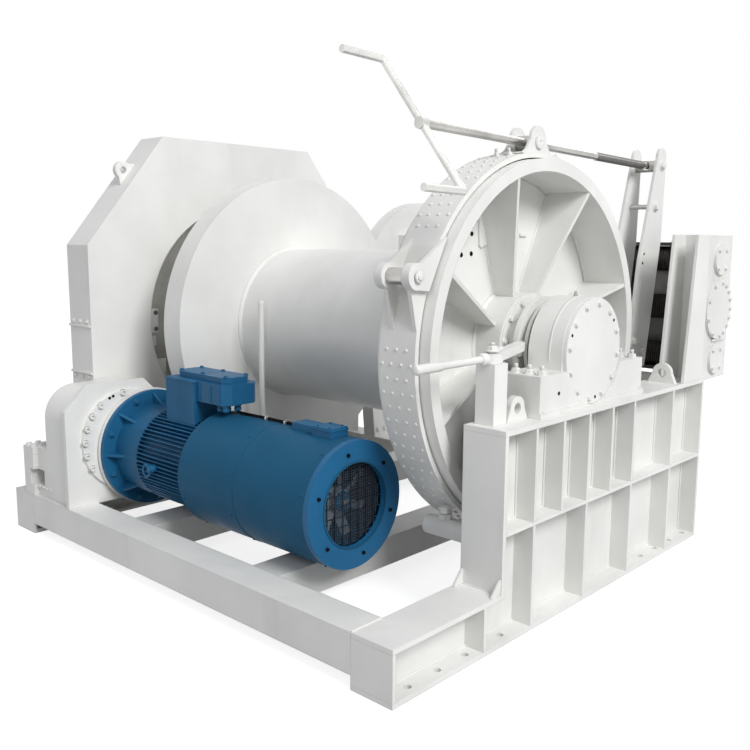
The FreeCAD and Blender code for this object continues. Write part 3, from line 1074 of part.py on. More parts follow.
def rope_guide():
    # column on the girder, open towards the motor side
    width = "column_width"
    x = "foot_width / 2 - column_width"
    web = block("column_web", (x, "column_back - column_plate", "girder_height"),
                (width, "column_plate", "column_top - girder_height"))
    flange = [("column_back - column_plate", "girder_height"), ("column_back - column_plate", "column_top"),
              ("column_back - column_top_depth", "column_top"), ("column_back - column_depth", "girder_height")]
    sides = [plate("column_side_" + name, "YZ_Plane", flange, "column_plate", (side, "0", "0"))
             for name, side in (("inner", x), ("outer", "foot_width / 2 - column_plate"))]
    node(fuse("guide_column", web, *sides), "guide_column")
    low = "guide_height - guide_rise"
    high = "guide_height + guide_rise"
    covers = []
    for name, height, radius in (("screw", "guide_height", "guide_cover"), ("upper", high, "rod_cover"),
                                 ("lower", low, "rod_cover")):
        covers.append(cylinder("guide_cover_" + name, ("0", "guide_at", height), radius, "guide_cover_plate",
                               ALONG["X"]))
    housings = []
    for label, start, inward in (("guide_end_housing", "-end_housing_depth", "near"),
                                 ("guide_far_housing", "-far_plate_at", "far")):
        body = block(label + "_block", (start, "guide_at - housing_front_half", "guide_end_bottom"),
                     ("end_housing_depth", "housing_front_half + housing_rear_half", "column_top - guide_end_bottom"))
        parts = [body]
        if inward == "near":
            parts.append(block(label + "_arm", (x, "column_back", "girder_height"),
                               ("column_plate", "guide_at - housing_front_half - column_back",
                                "column_top - girder_height")))
        pocket = start if inward == "near" else start + " + 10"
        bore = cylinder(label + "_bore", (pocket, "guide_at", "guide_height"), "guide_screw_radius + bearing_play",
                        "end_housing_depth - 10", ALONG["X"])
        if inward == "near":
            parts += covers
        outside = fuse(label + "_outside", *parts) if len(parts) > 1 else body
        housings.append(cut(label, outside, bore))
    node(group("guide_end_housings", *housings), "guide_end_housings")
    leg = [("frame_rear - rail_width", "foot_height"), ("frame_rear", "foot_height"),
           ("guide_at + far_rear_half", "guide_height - 90"), ("guide_at + far_rear_half", "guide_height"),
           ("guide_at - far_front_half", "guide_height"), ("guide_at - far_front_half", "guide_height - 200")]
    leg_plate = plate("far_plate_leg", "YZ_Plane", leg, "far_plate_depth", ("-far_plate_at - far_plate_depth", "0", "0"))
    disc = cylinder("far_plate_disc", ("-far_plate_at - far_plate_depth", "guide_at", "guide_height"),
                    "far_plate_arch", "far_plate_depth", ALONG["X"])
    window = block("far_plate_window", ("-far_plate_at - far_plate_depth", "guide_at - far_front_half", "guide_height"),
                   ("far_plate_depth", "far_front_half + far_rear_half", "far_plate_arch"))
    arch = doc.addObject("Part::Common", "far_plate_arch_part")
    arch.Base = disc
    arch.Tool = window
    node(fuse("guide_far_plate", leg_plate, arch), "guide_far_plate")
    span = "far_plate_at - 2 * end_housing_depth"
    rods = [cylinder("guide_rod_" + name, ("-far_plate_at + end_housing_depth", "guide_at", height),
                     "guide_rod_radius", span, ALONG["X"]) for name, height in (("upper", high), ("lower", low))]
    node(group("guide_rods", *rods), "guide_rods")
    node(cylinder("guide_screw", ("-far_plate_at + 12", "guide_at", "guide_height"), "guide_screw_radius",
                  "far_plate_at - 24", ALONG["X"]), "guide_screw")
    # carriage with two upright rope rollers
    left = "-carriage_at - carriage_width / 2"
    cheeks = []
    for name, start in (("left", left), ("right", "-carriage_at + carriage_width / 2 - carriage_plate")):
        cheeks.append(block("cheek_" + name, (start, "guide_at - carriage_front", "carriage_bottom"),
                            ("carriage_plate", "carriage_front + carriage_rear", "carriage_top - carriage_bottom")))
    decks = []
    for name, height in (("lower", "carriage_bottom"), ("upper", "carriage_top - carriage_plate")):
        decks.append(block("deck_" + name, (left, "guide_at - carriage_front", height),
                           ("carriage_width", "carriage_front + roller_reach + roller_radius + 15",
                            "carriage_plate")))
    tubes = []
    holes = []
    for name, height, radius, bore in (("upper", high, "guide_rod_radius + bush_wall", "guide_rod_radius + face_gap"),
                                       ("lower", low, "guide_rod_radius + bush_wall", "guide_rod_radius + face_gap"),
                                       ("nut", "guide_height", "guide_screw_radius + bush_wall",
                                        "guide_screw_radius + face_gap")):
        tubes.append(cylinder("bush_" + name, (left, "guide_at", height), radius, "carriage_width", ALONG["X"]))
        holes.append(cylinder("bush_hole_" + name, (left, "guide_at", height), bore, "carriage_width", ALONG["X"]))
    axles = []
    for name, sign in (("left", "-"), ("right", "+")):
        axles.append(cylinder("axle_" + name, ("-carriage_at %s roller_spread / 2" % sign,
                                               "guide_at + roller_reach", "carriage_bottom"), "roller_axle",
                              "carriage_top - carriage_bottom", ALONG["Z"]))
    node(cut("guide_carriage", fuse("carriage_outside", *(cheeks + decks + tubes + axles)), *holes),
         "guide_carriage")
    for name, sign in (("left", "-"), ("right", "+")):
        at = ("-carriage_at %s roller_spread / 2" % sign, "guide_at + roller_reach",
              "carriage_bottom + carriage_plate + 1")
        length = "carriage_top - carriage_bottom - 2 * carriage_plate - 2"
        node(cut("rope_roller_" + name, cylinder("roller_body_" + name, at, "roller_radius", length, ALONG["Z"]),
                 cylinder("roller_bore_" + name, at, "roller_axle + face_gap", length, ALONG["Z"])),
             "rope_roller_" + name)


def small_pieces():
    tube = cylinder("rest_tube", ("-rest_end", "-rest_at", "rest_height"), "rest_radius",
                    "rest_end - foot_web / 2", ALONG["X"])
    stud = cylinder("rest_stud", ("-stud_at", "-rest_at", "rest_height"), "stud_radius",
                    "band_under_rest - rest_height - face_gap", ALONG["Z"])
    node(fuse("band_rest", tube, stud), "band_rest")
    node(cylinder("upright_rod", ("-rod_post_along", "-rod_post_at", "cross_top"), "rod_post_radius",
                  "rod_post_top - cross_top", ALONG["Z"]), "upright_rod")


def build_all():
    base_frame()
    girder()
    lifting_lugs()
    bearing()
    drum()
    gear_wheel()
    clutch_sleeve()
    casing()
    gearbox()
    motor()
    band_brake()
    brake_screw()
    brake_lever()
    clutch_lever()
    rope_guide()
    small_pieces()


def check_and_write():
    doc.recompute()
    for item in doc.Objects:
        if "Invalid" in item.State or "Error" in item.State:
            raise RuntimeError("failed object: %s %s" % (item.Name, item.State))
    for item in nodes:
        if item.Shape.isNull() or not item.Shape.isValid() or not item.Shape.Solids:
            raise RuntimeError("bad shape: " + item.Label)
    os.makedirs("parts", exist_ok=True)
    for item in nodes:
        item.Shape.exportStep("parts/%s.step" % item.Label)
        box = item.Shape.BoundBox
        print("%-24s solids %2d  x %.0f..%.0f  y %.0f..%.0f  z %.0f..%.0f" % (
            item.Label, len(item.Shape.Solids), box.XMin, box.XMax, box.YMin, box.YMax, box.ZMin, box.ZMax))


build_all()
check_and_write()
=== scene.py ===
import json
import math
import bmesh
import bpy
from mathutils import Matrix, Vector


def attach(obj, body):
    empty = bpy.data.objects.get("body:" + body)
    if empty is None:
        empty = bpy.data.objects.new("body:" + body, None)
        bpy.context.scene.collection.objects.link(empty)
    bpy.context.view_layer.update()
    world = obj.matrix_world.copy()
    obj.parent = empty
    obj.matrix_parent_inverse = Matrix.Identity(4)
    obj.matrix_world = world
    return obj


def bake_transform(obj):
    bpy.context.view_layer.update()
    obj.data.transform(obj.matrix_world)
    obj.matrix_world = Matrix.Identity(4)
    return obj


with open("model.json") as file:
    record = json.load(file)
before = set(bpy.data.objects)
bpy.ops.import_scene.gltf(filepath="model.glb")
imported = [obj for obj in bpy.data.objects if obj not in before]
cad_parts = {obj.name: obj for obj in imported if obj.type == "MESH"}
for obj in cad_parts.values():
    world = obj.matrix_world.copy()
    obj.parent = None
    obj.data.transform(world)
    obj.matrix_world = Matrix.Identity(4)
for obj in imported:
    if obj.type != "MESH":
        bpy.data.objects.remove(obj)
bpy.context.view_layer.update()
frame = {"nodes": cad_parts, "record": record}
nodes = frame["nodes"]

X, Y, Z = Vector((1, 0, 0)), Vector((0, 1, 0)), Vector((0, 0, 1))
# Axes of the drum and the motor in mm, and the motor's once more in metres
DRUM_Z = 995
MOTOR_Y, MOTOR_Z = -800, 432
MOTOR = Vector((0, -0.8, 0.432))
# as many as the motor's solid has in part.py
COOLING_FINS = 36


# Materials
def shader(name, color, metallic, roughness, specular=0.5):
    """Material with a Principled shader and object coordinates."""
    material = bpy.data.materials.new(name)
    material.use_nodes = True
    tree = material.node_tree
    surface = tree.nodes["Principled BSDF"]
    surface.inputs["Base Color"].default_value = (*color, 1)
    surface.inputs["Metallic"].default_value = metallic
    surface.inputs["Roughness"].default_value = roughness
    surface.inputs["Specular IOR Level"].default_value = specular
    place = tree.nodes.new("ShaderNodeTexCoord").outputs["Object"]
    return material, tree, surface, place


def noise(tree, place, scale, detail=3.0, stretch=None):
    """Grey noise, drawn out along an axis where its stretch is low."""
    if stretch:
        mapping = tree.nodes.new("ShaderNodeMapping")
        mapping.inputs["Scale"].default_value = stretch
        tree.links.new(place, mapping.inputs["Vector"])
        place = mapping.outputs["Vector"]
    node = tree.nodes.new("ShaderNodeTexNoise")
    node.inputs["Scale"].default_value = scale
    node.inputs["Detail"].default_value = detail
    tree.links.new(place, node.inputs["Vector"])
    return node.outputs["Fac"]


def spread(tree, value, low, high, first, second):
    """Map range of a grey value."""
    node = tree.nodes.new("ShaderNodeMapRange")
    for name, number in zip(("From Min", "From Max", "To Min", "To Max"), (low, high, first, second)):
        node.inputs[name].default_value = number
    tree.links.new(value, node.inputs["Value"])
    return node.outputs["Result"]


def mixed(tree, share, first, second):
    """Colour between two, each a value or another node's output."""
    node = tree.nodes.new("ShaderNodeMix")
    node.data_type = "RGBA"
    for socket, value in (("A", first), ("B", second)):
        pins = [pin for pin in node.inputs if pin.name == socket and pin.type == "RGBA"]
        if isinstance(value, (tuple, list)):
            pins[0].default_value = (*value, 1)
        else:
            tree.links.new(value, pins[0])
    tree.links.new(share, node.inputs["Factor"])
    return [pin for pin in node.outputs if pin.type == "RGBA"][0]


def bumped(tree, surface, heights, rounding=0.0):
    """Bump from several (value, strength, distance), over edges that are rounded in the shading."""
    normal = None
    if rounding:
        edge = tree.nodes.new("ShaderNodeBevel")
        edge.samples = 4
        edge.inputs["Radius"].default_value = rounding
        normal = edge.outputs["Normal"]
    for value, strength, distance in heights:
        bump = tree.nodes.new("ShaderNodeBump")
        bump.inputs["Strength"].default_value = strength
        bump.inputs["Distance"].default_value = distance
        tree.links.new(value, bump.inputs["Height"])
        if normal:
            tree.links.new(normal, bump.inputs["Normal"])
        normal = bump.outputs["Normal"]
    tree.links.new(normal, surface.inputs["Normal"])


def paint(name, color, dirt_and_shade, roughness, rounding, wear=0.3, specular=0.5):
    """Sprayed paint: uneven tone, dull streaks, painted shade in the corners and orange peel."""
    material, tree, surface, place = shader(name, color, 0.0, roughness, specular)
    cloud = noise(tree, place, 2.2, 4)
    streak = noise(tree, place, 6.0, 4, (1.0, 1.0, 0.25))
    fine = noise(tree, place, 420.0, 2)
    corner = tree.nodes.new("ShaderNodeNewGeometry").outputs["Pointiness"]
    lighter = tuple(min(1.0, c * 1.05) for c in color)
    darker = tuple(c * 0.93 for c in color)
    tone = mixed(tree, spread(tree, cloud, 0.35, 0.65, 0, 1), darker, lighter)
    tone = mixed(tree, spread(tree, streak, 0.56, 0.8, 0, wear), tone, dirt_and_shade)
    # painted shade: the colour darkens in hollow corners, where pointiness is low
    tone = mixed(tree, spread(tree, corner, 0.5, 0.38, 0, 0.5), tone, dirt_and_shade)
    tree.links.new(tone, surface.inputs["Base Color"])
    tree.links.new(spread(tree, streak, 0.3, 0.8, roughness - 0.07, roughness + 0.15), surface.inputs["Roughness"])
    bumped(tree, surface, ((fine, 0.12, 0.0006), (cloud, 0.08, 0.004)), rounding)
    return material


def metal(name, color, roughness, stretch, marked=0.06):
    """Worked steel: fine marks along one direction and uneven shine."""
    material, tree, surface, place = shader(name, color, 1.0, roughness)
    marks = noise(tree, place, 160.0, 3, stretch)
    cloud = noise(tree, place, 7.0, 4)
    dark = tuple(c * 0.6 for c in color)
    tone = mixed(tree, spread(tree, cloud, 0.4, 0.75, 0, 0.7), color, dark)
    tree.links.new(tone, surface.inputs["Base Color"])
    tree.links.new(spread(tree, marks, 0.3, 0.7, roughness - 0.08, roughness + 0.12), surface.inputs["Roughness"])
    bumped(tree, surface, ((marks, marked, 0.0004),))
    return material


def rubber(name, color):
    """Folded rubber: dull, with dust on it."""
    material, tree, surface, place = shader(name, color, 0.0, 0.62, 0.25)
    dust = noise(tree, place, 14.0, 5)
    tone = mixed(tree, spread(tree, dust, 0.45, 0.8, 0, 0.6), color, (0.1, 0.09, 0.08))
    tree.links.new(tone, surface.inputs["Base Color"])
    bumped(tree, surface, ((noise(tree, place, 90.0, 3), 0.2, 0.0006),))
    return material


def guard_paint(name, color, wire, roughness):
    """Paint of the fan ring, and dusty dark wire inside its opening."""
    inside, outside = 0.1628, 0.1632
    material, tree, surface, place = shader(name, color, 0.0, roughness, 0.25)
    offset = tree.nodes.new("ShaderNodeVectorMath")
    offset.operation = "SUBTRACT"
    offset.inputs[1].default_value = MOTOR
    tree.links.new(place, offset.inputs[0])
    flat = tree.nodes.new("ShaderNodeVectorMath")
    flat.operation = "MULTIPLY"
    flat.inputs[1].default_value = (0, 1, 1)
    tree.links.new(offset.outputs[0], flat.inputs[0])
    length = tree.nodes.new("ShaderNodeVectorMath")
    length.operation = "LENGTH"
    tree.links.new(flat.outputs[0], length.inputs[0])
    cloud = noise(tree, place, 5.0, 4)
    painted = mixed(tree, spread(tree, cloud, 0.35, 0.7, 0, 1), color, tuple(c * 0.86 for c in color))
    tone = mixed(tree, spread(tree, length.outputs["Value"], inside, outside, 0, 1), wire, painted)
    tree.links.new(tone, surface.inputs["Base Color"])
    bumped(tree, surface, ((noise(tree, place, 420.0, 2), 0.12, 0.0006),), 0.0015)
    return material


WHITE = paint("machine_paint", (0.76, 0.76, 0.735), (0.5, 0.49, 0.45), 0.42, 0.004)
SHEET = paint("sheet_paint", (0.77, 0.77, 0.745), (0.55, 0.54, 0.5), 0.38, 0.005, 0.2)
BEAM = paint("beam_paint", (0.76, 0.76, 0.735), (0.5, 0.49, 0.45), 0.42, 0.009)
BLUE = paint("motor_paint", (0.012, 0.105, 0.225), (0.01, 0.05, 0.1), 0.4, 0.0015, specular=0.2)
COWL = paint("cowl_paint", (0.014, 0.09, 0.175), (0.02, 0.07, 0.12), 0.5, 0.0015, specular=0.08)
GUARD = guard_paint("guard_paint", (0.014, 0.125, 0.275), (0.022, 0.028, 0.04), 0.4)
MESH = paint("guard_wire", (0.07, 0.085, 0.11), (0.03, 0.035, 0.045), 0.5, 0)
FAN = paint("fan_plastic", (0.2, 0.25, 0.31), (0.08, 0.12, 0.16), 0.34, 0.001)
STEEL = metal("bare_steel", (0.55, 0.54, 0.52), 0.34, (0.15, 1.0, 1.0))
BRIGHT = metal("crank_steel", (0.72, 0.72, 0.7), 0.42, (0.15, 1.0, 1.0), marked=0.02)
DARK = metal("dark_steel", (0.16, 0.155, 0.15), 0.42, (0.2, 1.0, 1.0))
# near-black paint for the rope guide's rods, screw and carriage
NEAR_BLACK = paint("near_black_paint", (0.03, 0.027, 0.024), (0.09, 0.08, 0.07), 0.35, 0.001)
ROLLER = metal("roller_steel", (0.09, 0.09, 0.088), 0.5, (1.0, 1.0, 0.1))
# near-black steel: real black parts, and painted shade in holes and in the gap at the drum shaft
BLACK_AND_PAINTED_SHADE = metal("black_steel_and_painted_shade", (0.012, 0.012, 0.013), 0.6, (1.0, 1.0, 1.0))
BELLOWS = rubber("bellows_rubber", (0.03, 0.026, 0.023))
BY_SLOT = {"machine_paint": WHITE, "motor_paint": BLUE, "bare_steel": STEEL, "dark_steel": DARK,
           "roller_steel": ROLLER}
SPECIAL = {"casing_front_plate": SHEET, "casing_shell": SHEET, "gearbox_case": SHEET, "gearbox_cover": SHEET,
           "drum_barrel": SHEET, "drum_flange": SHEET, "motor_cowl": COWL, "fan_guard": GUARD, "motor_fan": FAN,
           "frame_rails": BEAM, "gear_foot_beam": BEAM, "brake_crank": BRIGHT, "guide_rods": NEAR_BLACK,
           "guide_screw": NEAR_BLACK, "guide_carriage": NEAR_BLACK, "drum_shaft": STEEL}
for part in frame["record"]["subparts"]:
    solid = nodes[part["node"]]
    material = SPECIAL.get(part["node"], BY_SLOT[part["material_slot"]])
    for slot in solid.material_slots:
        slot.material = material
    solid.data.shade_smooth()
    solid.data.set_sharp_from_angle(angle=math.radians(32))


# Shapes that repeat: points and faces of one, standing on z = 0 and pointing up
def rings(profile, sides, close=True):
    """Closed turned form from (radius, height) pairs, as points and faces."""
    points, faces = [], []
    for radius, height in profile:
        for i in range(sides):
            angle = 2 * math.pi * i / sides
            points.append(Vector((radius * math.cos(angle), radius * math.sin(angle), height)))
    for ring in range(len(profile) - 1):
        for i in range(sides):
            a, b = ring * sides + i, ring * sides + (i + 1) % sides
            faces.append((a, b, b + sides, a + sides))
    if close:
        faces.append(tuple(reversed(range(sides))))
        faces.append(tuple(range((len(profile) - 1) * sides, len(profile) * sides)))
    return points, faces


def joined(*shapes):
    """Several shapes as one."""
    points, faces = [], []
    for some, more in shapes:
        start = len(points)
        points += some
        faces += [tuple(i + start for i in face) for face in more]
    return points, faces


def hex_bolt(r):
    """Hexagon head with a turned chamfer on a washer."""
    washer = r * 1.35
    disc = rings([(washer, -0.001), (washer, r * 0.16), (washer * 0.95, r * 0.22)], 20)
    head = rings([(r, 0), (r, r * 0.78), (r * 0.86, r * 0.92)], 6)
    return joined(disc, head)


def stud_nut(r, reach):
    """Hexagon nut on a threaded end."""
    end = [(r * 0.5, 0)]
    for i in range(5):
        low = r * 0.95 + (r * (reach - 1.0) - r * 0.1) * i / 5
        end += [(r * 0.52, low), (r * 0.46, low + r * 0.06)]
    return joined(hex_bolt(r), rings(end + [(r * 0.4, r * reach)], 12))


def rivet(r):
    """Flat dome."""
    return rings([(r, -0.0005), (r * 0.96, r * 0.22), (r * 0.7, r * 0.46), (r * 0.3, r * 0.56)], 12)


def socket_screw(r):
    """Round head with its socket sunk in it."""
    return rings([(r, 0), (r, r * 0.8), (r * 0.9, r * 0.92), (r * 0.52, r * 0.92), (r * 0.48, r * 0.35)], 16)


def sunk_screw(r):
    """Cylinder head with its socket, in a ring-shaped recess that stands as a thin lip."""
    lip = rings([(r * 1.32, -0.0005), (r * 1.3, r * 0.1), (r * 1.2, r * 0.1), (r * 1.16, 0.0)], 20)
    head = rings([(r, 0), (r, r * 0.7), (r * 0.9, r * 0.82), (r * 0.5, r * 0.82), (r * 0.46, r * 0.3)], 20)
    return joined(lip, head)


def hole_rim(r):
    """Threaded hole with a countersunk edge, shallow and dark: painted shade stands for the hole's depth."""
    return rings([(r * 1.12, -0.0004), (r * 1.1, 0.0009), (r, 0.0009), (r * 0.82, 0.0003), (r * 0.3, 0.0002)], 16)


def piece(name, body, slot, material, points, faces, angle=35, bevel=0.0):
    """Visible piece from points and faces in metres; one without a body is attached to none."""
    mesh = bpy.data.meshes.new(name)
    mesh.from_pydata([tuple(p) for p in points], [], faces)
    shape = bmesh.new()
    shape.from_mesh(mesh)
    bmesh.ops.recalc_face_normals(shape, faces=shape.faces)
    if bevel:
        sharp = [edge for edge in shape.edges if edge.is_manifold and edge.calc_face_angle() > 0.5]
        bmesh.ops.bevel(shape, geom=sharp, offset=bevel, segments=2, affect="EDGES", profile=0.6)
    shape.to_mesh(mesh)
    shape.free()
    mesh.shade_smooth()
    mesh.set_sharp_from_angle(angle=math.radians(angle))
    mesh.materials.append(material)
    thing = bpy.data.objects.new(name, mesh)
    bpy.context.scene.collection.objects.link(thing)
    if body:
        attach(thing, body)
    return thing


def polar(radius, angle):
    """The two legs of a radius at an angle in degrees."""
    return radius * math.cos(math.radians(angle)), radius * math.sin(math.radians(angle))


def facing(direction):
    """The turn that points Z along a direction."""
    return Vector(direction).normalized().to_track_quat("Z", "Y").to_matrix()


def scatter(name, body, slot, material, shape, spots):
    """One piece of many copies; each spot is (x, y, z in mm, direction, turn in degrees)."""
    points, faces = [], []
    base, corners = shape
    for x, y, z, direction, spin in spots:
        turn = facing(direction) @ Matrix.Rotation(math.radians(spin), 3, "Z")
        start = len(points)
        points += [turn @ p + Vector((x, y, z)) / 1000 for p in base]
        faces += [tuple(i + start for i in face) for face in corners]
    return piece(name, body, slot, material, points, faces)


def around(axis_y, axis_z, radius, x, angles, skip=None):
    """Spots on a circle about an axis along X, no two heads turned alike; 0 is -Y and 90 is up."""
    spots = []
    for i, angle in enumerate(angles):
        across, up = polar(radius, angle)
        y, z = axis_y - across, axis_z + up
        if skip is None or not skip(y, z):
            spots.append((x, y, z, X, (i * 37) % 60))
    return spots


def radial(angle):
    """Direction out from an axis along X; 0 is -Y and 90 is up."""
    across, up = polar(1, angle)
    return Vector((0, -across, up))


def bar(low, high):
    """Points and faces of a box between two corners in mm."""
    (a, b, c), (d, e, f) = [[v / 1000 for v in corner] for corner in (low, high)]
    corners = ((a, b, c), (d, b, c), (d, e, c), (a, e, c), (a, b, f), (d, b, f), (d, e, f), (a, e, f))
    return ([Vector(p) for p in corners],
            [(3, 2, 1, 0), (4, 5, 6, 7), (0, 1, 5, 4), (1, 2, 6, 5), (2, 3, 7, 6), (3, 0, 4, 7)])


def strips(name, body, slot, material, boxes, bevel=2.0):
    """Plates, straps and lips: boxes between corners in mm, with their edges taken off."""
    points, faces = joined(*[bar(low, high) for low, high in boxes])
    return piece(name, body, slot, material, points, faces, bevel=bevel / 1000)


def rods(name, body, slot, material, paths, radius, closed=False, smooth=False):
    """Round beads, welds and wires along paths given in mm."""
    curve = bpy.data.curves.new(name, "CURVE")
    curve.dimensions = "3D"
    curve.bevel_depth = radius / 1000
    curve.bevel_resolution = 3
    curve.use_fill_caps = True
    for path in paths:
        spline = curve.splines.new("NURBS" if smooth else "POLY")
        spline.points.add(len(path) - 1)
        for point, place in zip(spline.points, path):
            point.co = (*[v / 1000 for v in place], 1)
        spline.use_cyclic_u = closed
        if smooth:
            spline.order_u = 3
            spline.use_endpoint_u = not closed
    curve.materials.append(material)
    thing = bpy.data.objects.new(name, curve)
    bpy.context.scene.collection.objects.link(thing)
    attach(thing, body)
    return thing


def prism(outline, x, depth, holes=()):
    """Plate across X from a polygon of (y, z) in mm, with round holes (y, z, radius) left open."""
    shape = bmesh.new()
    loops = [outline]
    for y, z, radius in holes:
        legs = [polar(radius, 15 * i) for i in range(24)]
        loops.append([(y + across, z + up) for across, up in legs])
    edges = []
    for loop in loops:
        corners = [shape.verts.new((x / 1000, y / 1000, z / 1000)) for y, z in loop]
        edges += [shape.edges.new(pair) for pair in zip(corners, corners[1:] + corners[:1])]
    bmesh.ops.triangle_fill(shape, use_beauty=True, edges=edges)
    grown = bmesh.ops.extrude_face_region(shape, geom=list(shape.faces))
    moved = [item for item in grown["geom"] if isinstance(item, bmesh.types.BMVert)]
    bmesh.ops.translate(shape, verts=moved, vec=(depth / 1000, 0, 0))
    # the fill's order varies from run to run, so corners and faces are put in order
    ordered = sorted(shape.verts, key=lambda vert: tuple(vert.co))
    number = {vert: i for i, vert in enumerate(ordered)}
    faces = []
    for face in shape.faces:
        around_face = [number[vert] for vert in face.verts]
        first = around_face.index(min(around_face))
        around_face = around_face[first:] + around_face[:first]
        if around_face[1] > around_face[-1]:
            around_face[1:] = reversed(around_face[1:])
        faces.append(tuple(around_face))
    points = [vert.co.copy() for vert in ordered]
    shape.free()
    return points, sorted(faces)


def turned(name, body, slot, material, profile, at, direction, sides, close=True):
    """Turned piece; the profile is (radius, height) in mm along the direction from the place."""
    points, faces = rings([(r / 1000, h / 1000) for r, h in profile], sides, close=close)
    swing = facing(direction)
    return piece(name, body, slot, material, [swing @ p + Vector(at) / 1000 for p in points], faces)


def hoop(name, body, slot, material, profile, at, direction, sides=96):
    """Closed ring turned from a closed profile of (radius, height) in mm."""
    thing = turned(name, body, slot, material, profile + profile[:1], at, direction, sides, close=False)
    merged = bmesh.new()
    merged.from_mesh(thing.data)
    bmesh.ops.remove_doubles(merged, verts=merged.verts, dist=1e-6)
    bmesh.ops.recalc_face_normals(merged, faces=merged.faces)
    merged.to_mesh(thing.data)
    merged.free()
    return thing


# Who carries a piece, its slot and its material
ON_BASE = ("base", "machine_paint", WHITE)
ON_DRUM = ("drum", "machine_paint", WHITE)
ON_MOTOR = ("base", "motor_paint", BLUE)
ON_COWL = ("base", "motor_paint", COWL)
# black parts on the base, and near-black paint as painted shade in holes and gaps
BASE_BLACK = ("base", "dark_steel", BLACK_AND_PAINTED_SHADE)


# Gearbox and casing
def gearbox():
    cover_y, cover_z, face, circle, adapter = -914, 483, -1878, 224, 281

    def behind_adapter(y, z):
        return math.hypot(y - MOTOR_Y, z - MOTOR_Z) < adapter + 11
    bolts = [2.5 + 16.364 * i for i in range(22) if i != 4]
    scatter("gearbox_cover_bolts", *ON_BASE, sunk_screw(0.014),
            around(cover_y, cover_z, circle, face, bolts, skip=behind_adapter))
    # near-black dishes: painted shade in the cover's threaded holes
    scatter("gearbox_cover_holes", *BASE_BLACK, hole_rim(0.0065), around(cover_y, cover_z, circle, face, (66, 71)))
    scatter("gearbox_side_bolts", *ON_BASE, hex_bolt(0.009),
            [(x, -1201, 240, -Y, 10) for x in (-2208, -2172, -2136, -2100)])
    scatter("bracket_bolts", *ON_BASE, hex_bolt(0.014),
            [(-2296, -1206, 430, Z, 0), (-2250, -1206, 430, Z, 20), (-2296, -1160, 430, Z, 40),
             (-2250, -1160, 430, Z, 10)])
    strips("bracket_caps", *ON_BASE, [((-2320, -1224.5, z), (-2221, -945, z + 7)) for z in (336, 398)])
    hoop("adapter_flange", *ON_BASE, [(226, 0), (adapter, 0), (adapter, 11), (226, 11)],
         (-1870, MOTOR_Y, MOTOR_Z), X)
    lug_radius, lug_rise, foot_half, waist = 44, 31, 70, 29
    eye = [(across, lug_rise + up) for across, up in (polar(lug_radius, a) for a in range(180, -1, -15))]
    outline = [(-foot_half, 0), (-lug_radius, waist)] + eye + [(lug_radius, waist), (foot_half, 0)]
    for side, name in ((-1, "front"), (1, "rear")):
        wall = 936 * side
        strips("casing_joint_" + name, "base", "machine_paint", SHEET,
               [((-2346, min(wall, wall + 9 * side), z), (-2146, max(wall, wall + 9 * side), z + 12))
                for z in (759, 990)])
        scatter("casing_joint_bolts_" + name, *ON_BASE, hex_bolt(0.009),
                [(x, wall, z, Y * side, 15) for x in (-2312, -2246, -2180) for z in (744, 1018)])

        def on_slope(along, out):
            """Place in (y, z) from the middle of the casing's sloping side."""
            return side * (651 - 0.629 * along + 0.7775 * out), 1741 + 0.7775 * along + 0.629 * out
        points, faces = prism([on_slope(*p) for p in outline], -2260, 28, [(*on_slope(0, lug_rise), 17)])
        piece("casing_lug_" + name, *ON_BASE, points, faces, bevel=0.002)
    # seal carrier of the pinion, seen in the mouth of the casing
    strips("pinion_seal", *ON_BASE,
           [((-2190, -660, 940), (-2160, -548, 1064)), ((-2184, -655, 872), (-2164, -560, 926)),
            ((-2184, -640, 690), (-2172, -500, 800))], 4.0)
    scatter("pinion_seal_bolts", "base", "dark_steel", DARK, hex_bolt(0.009),
            [(-2160, -562, z, X, 0) for z in (960, 1044)])


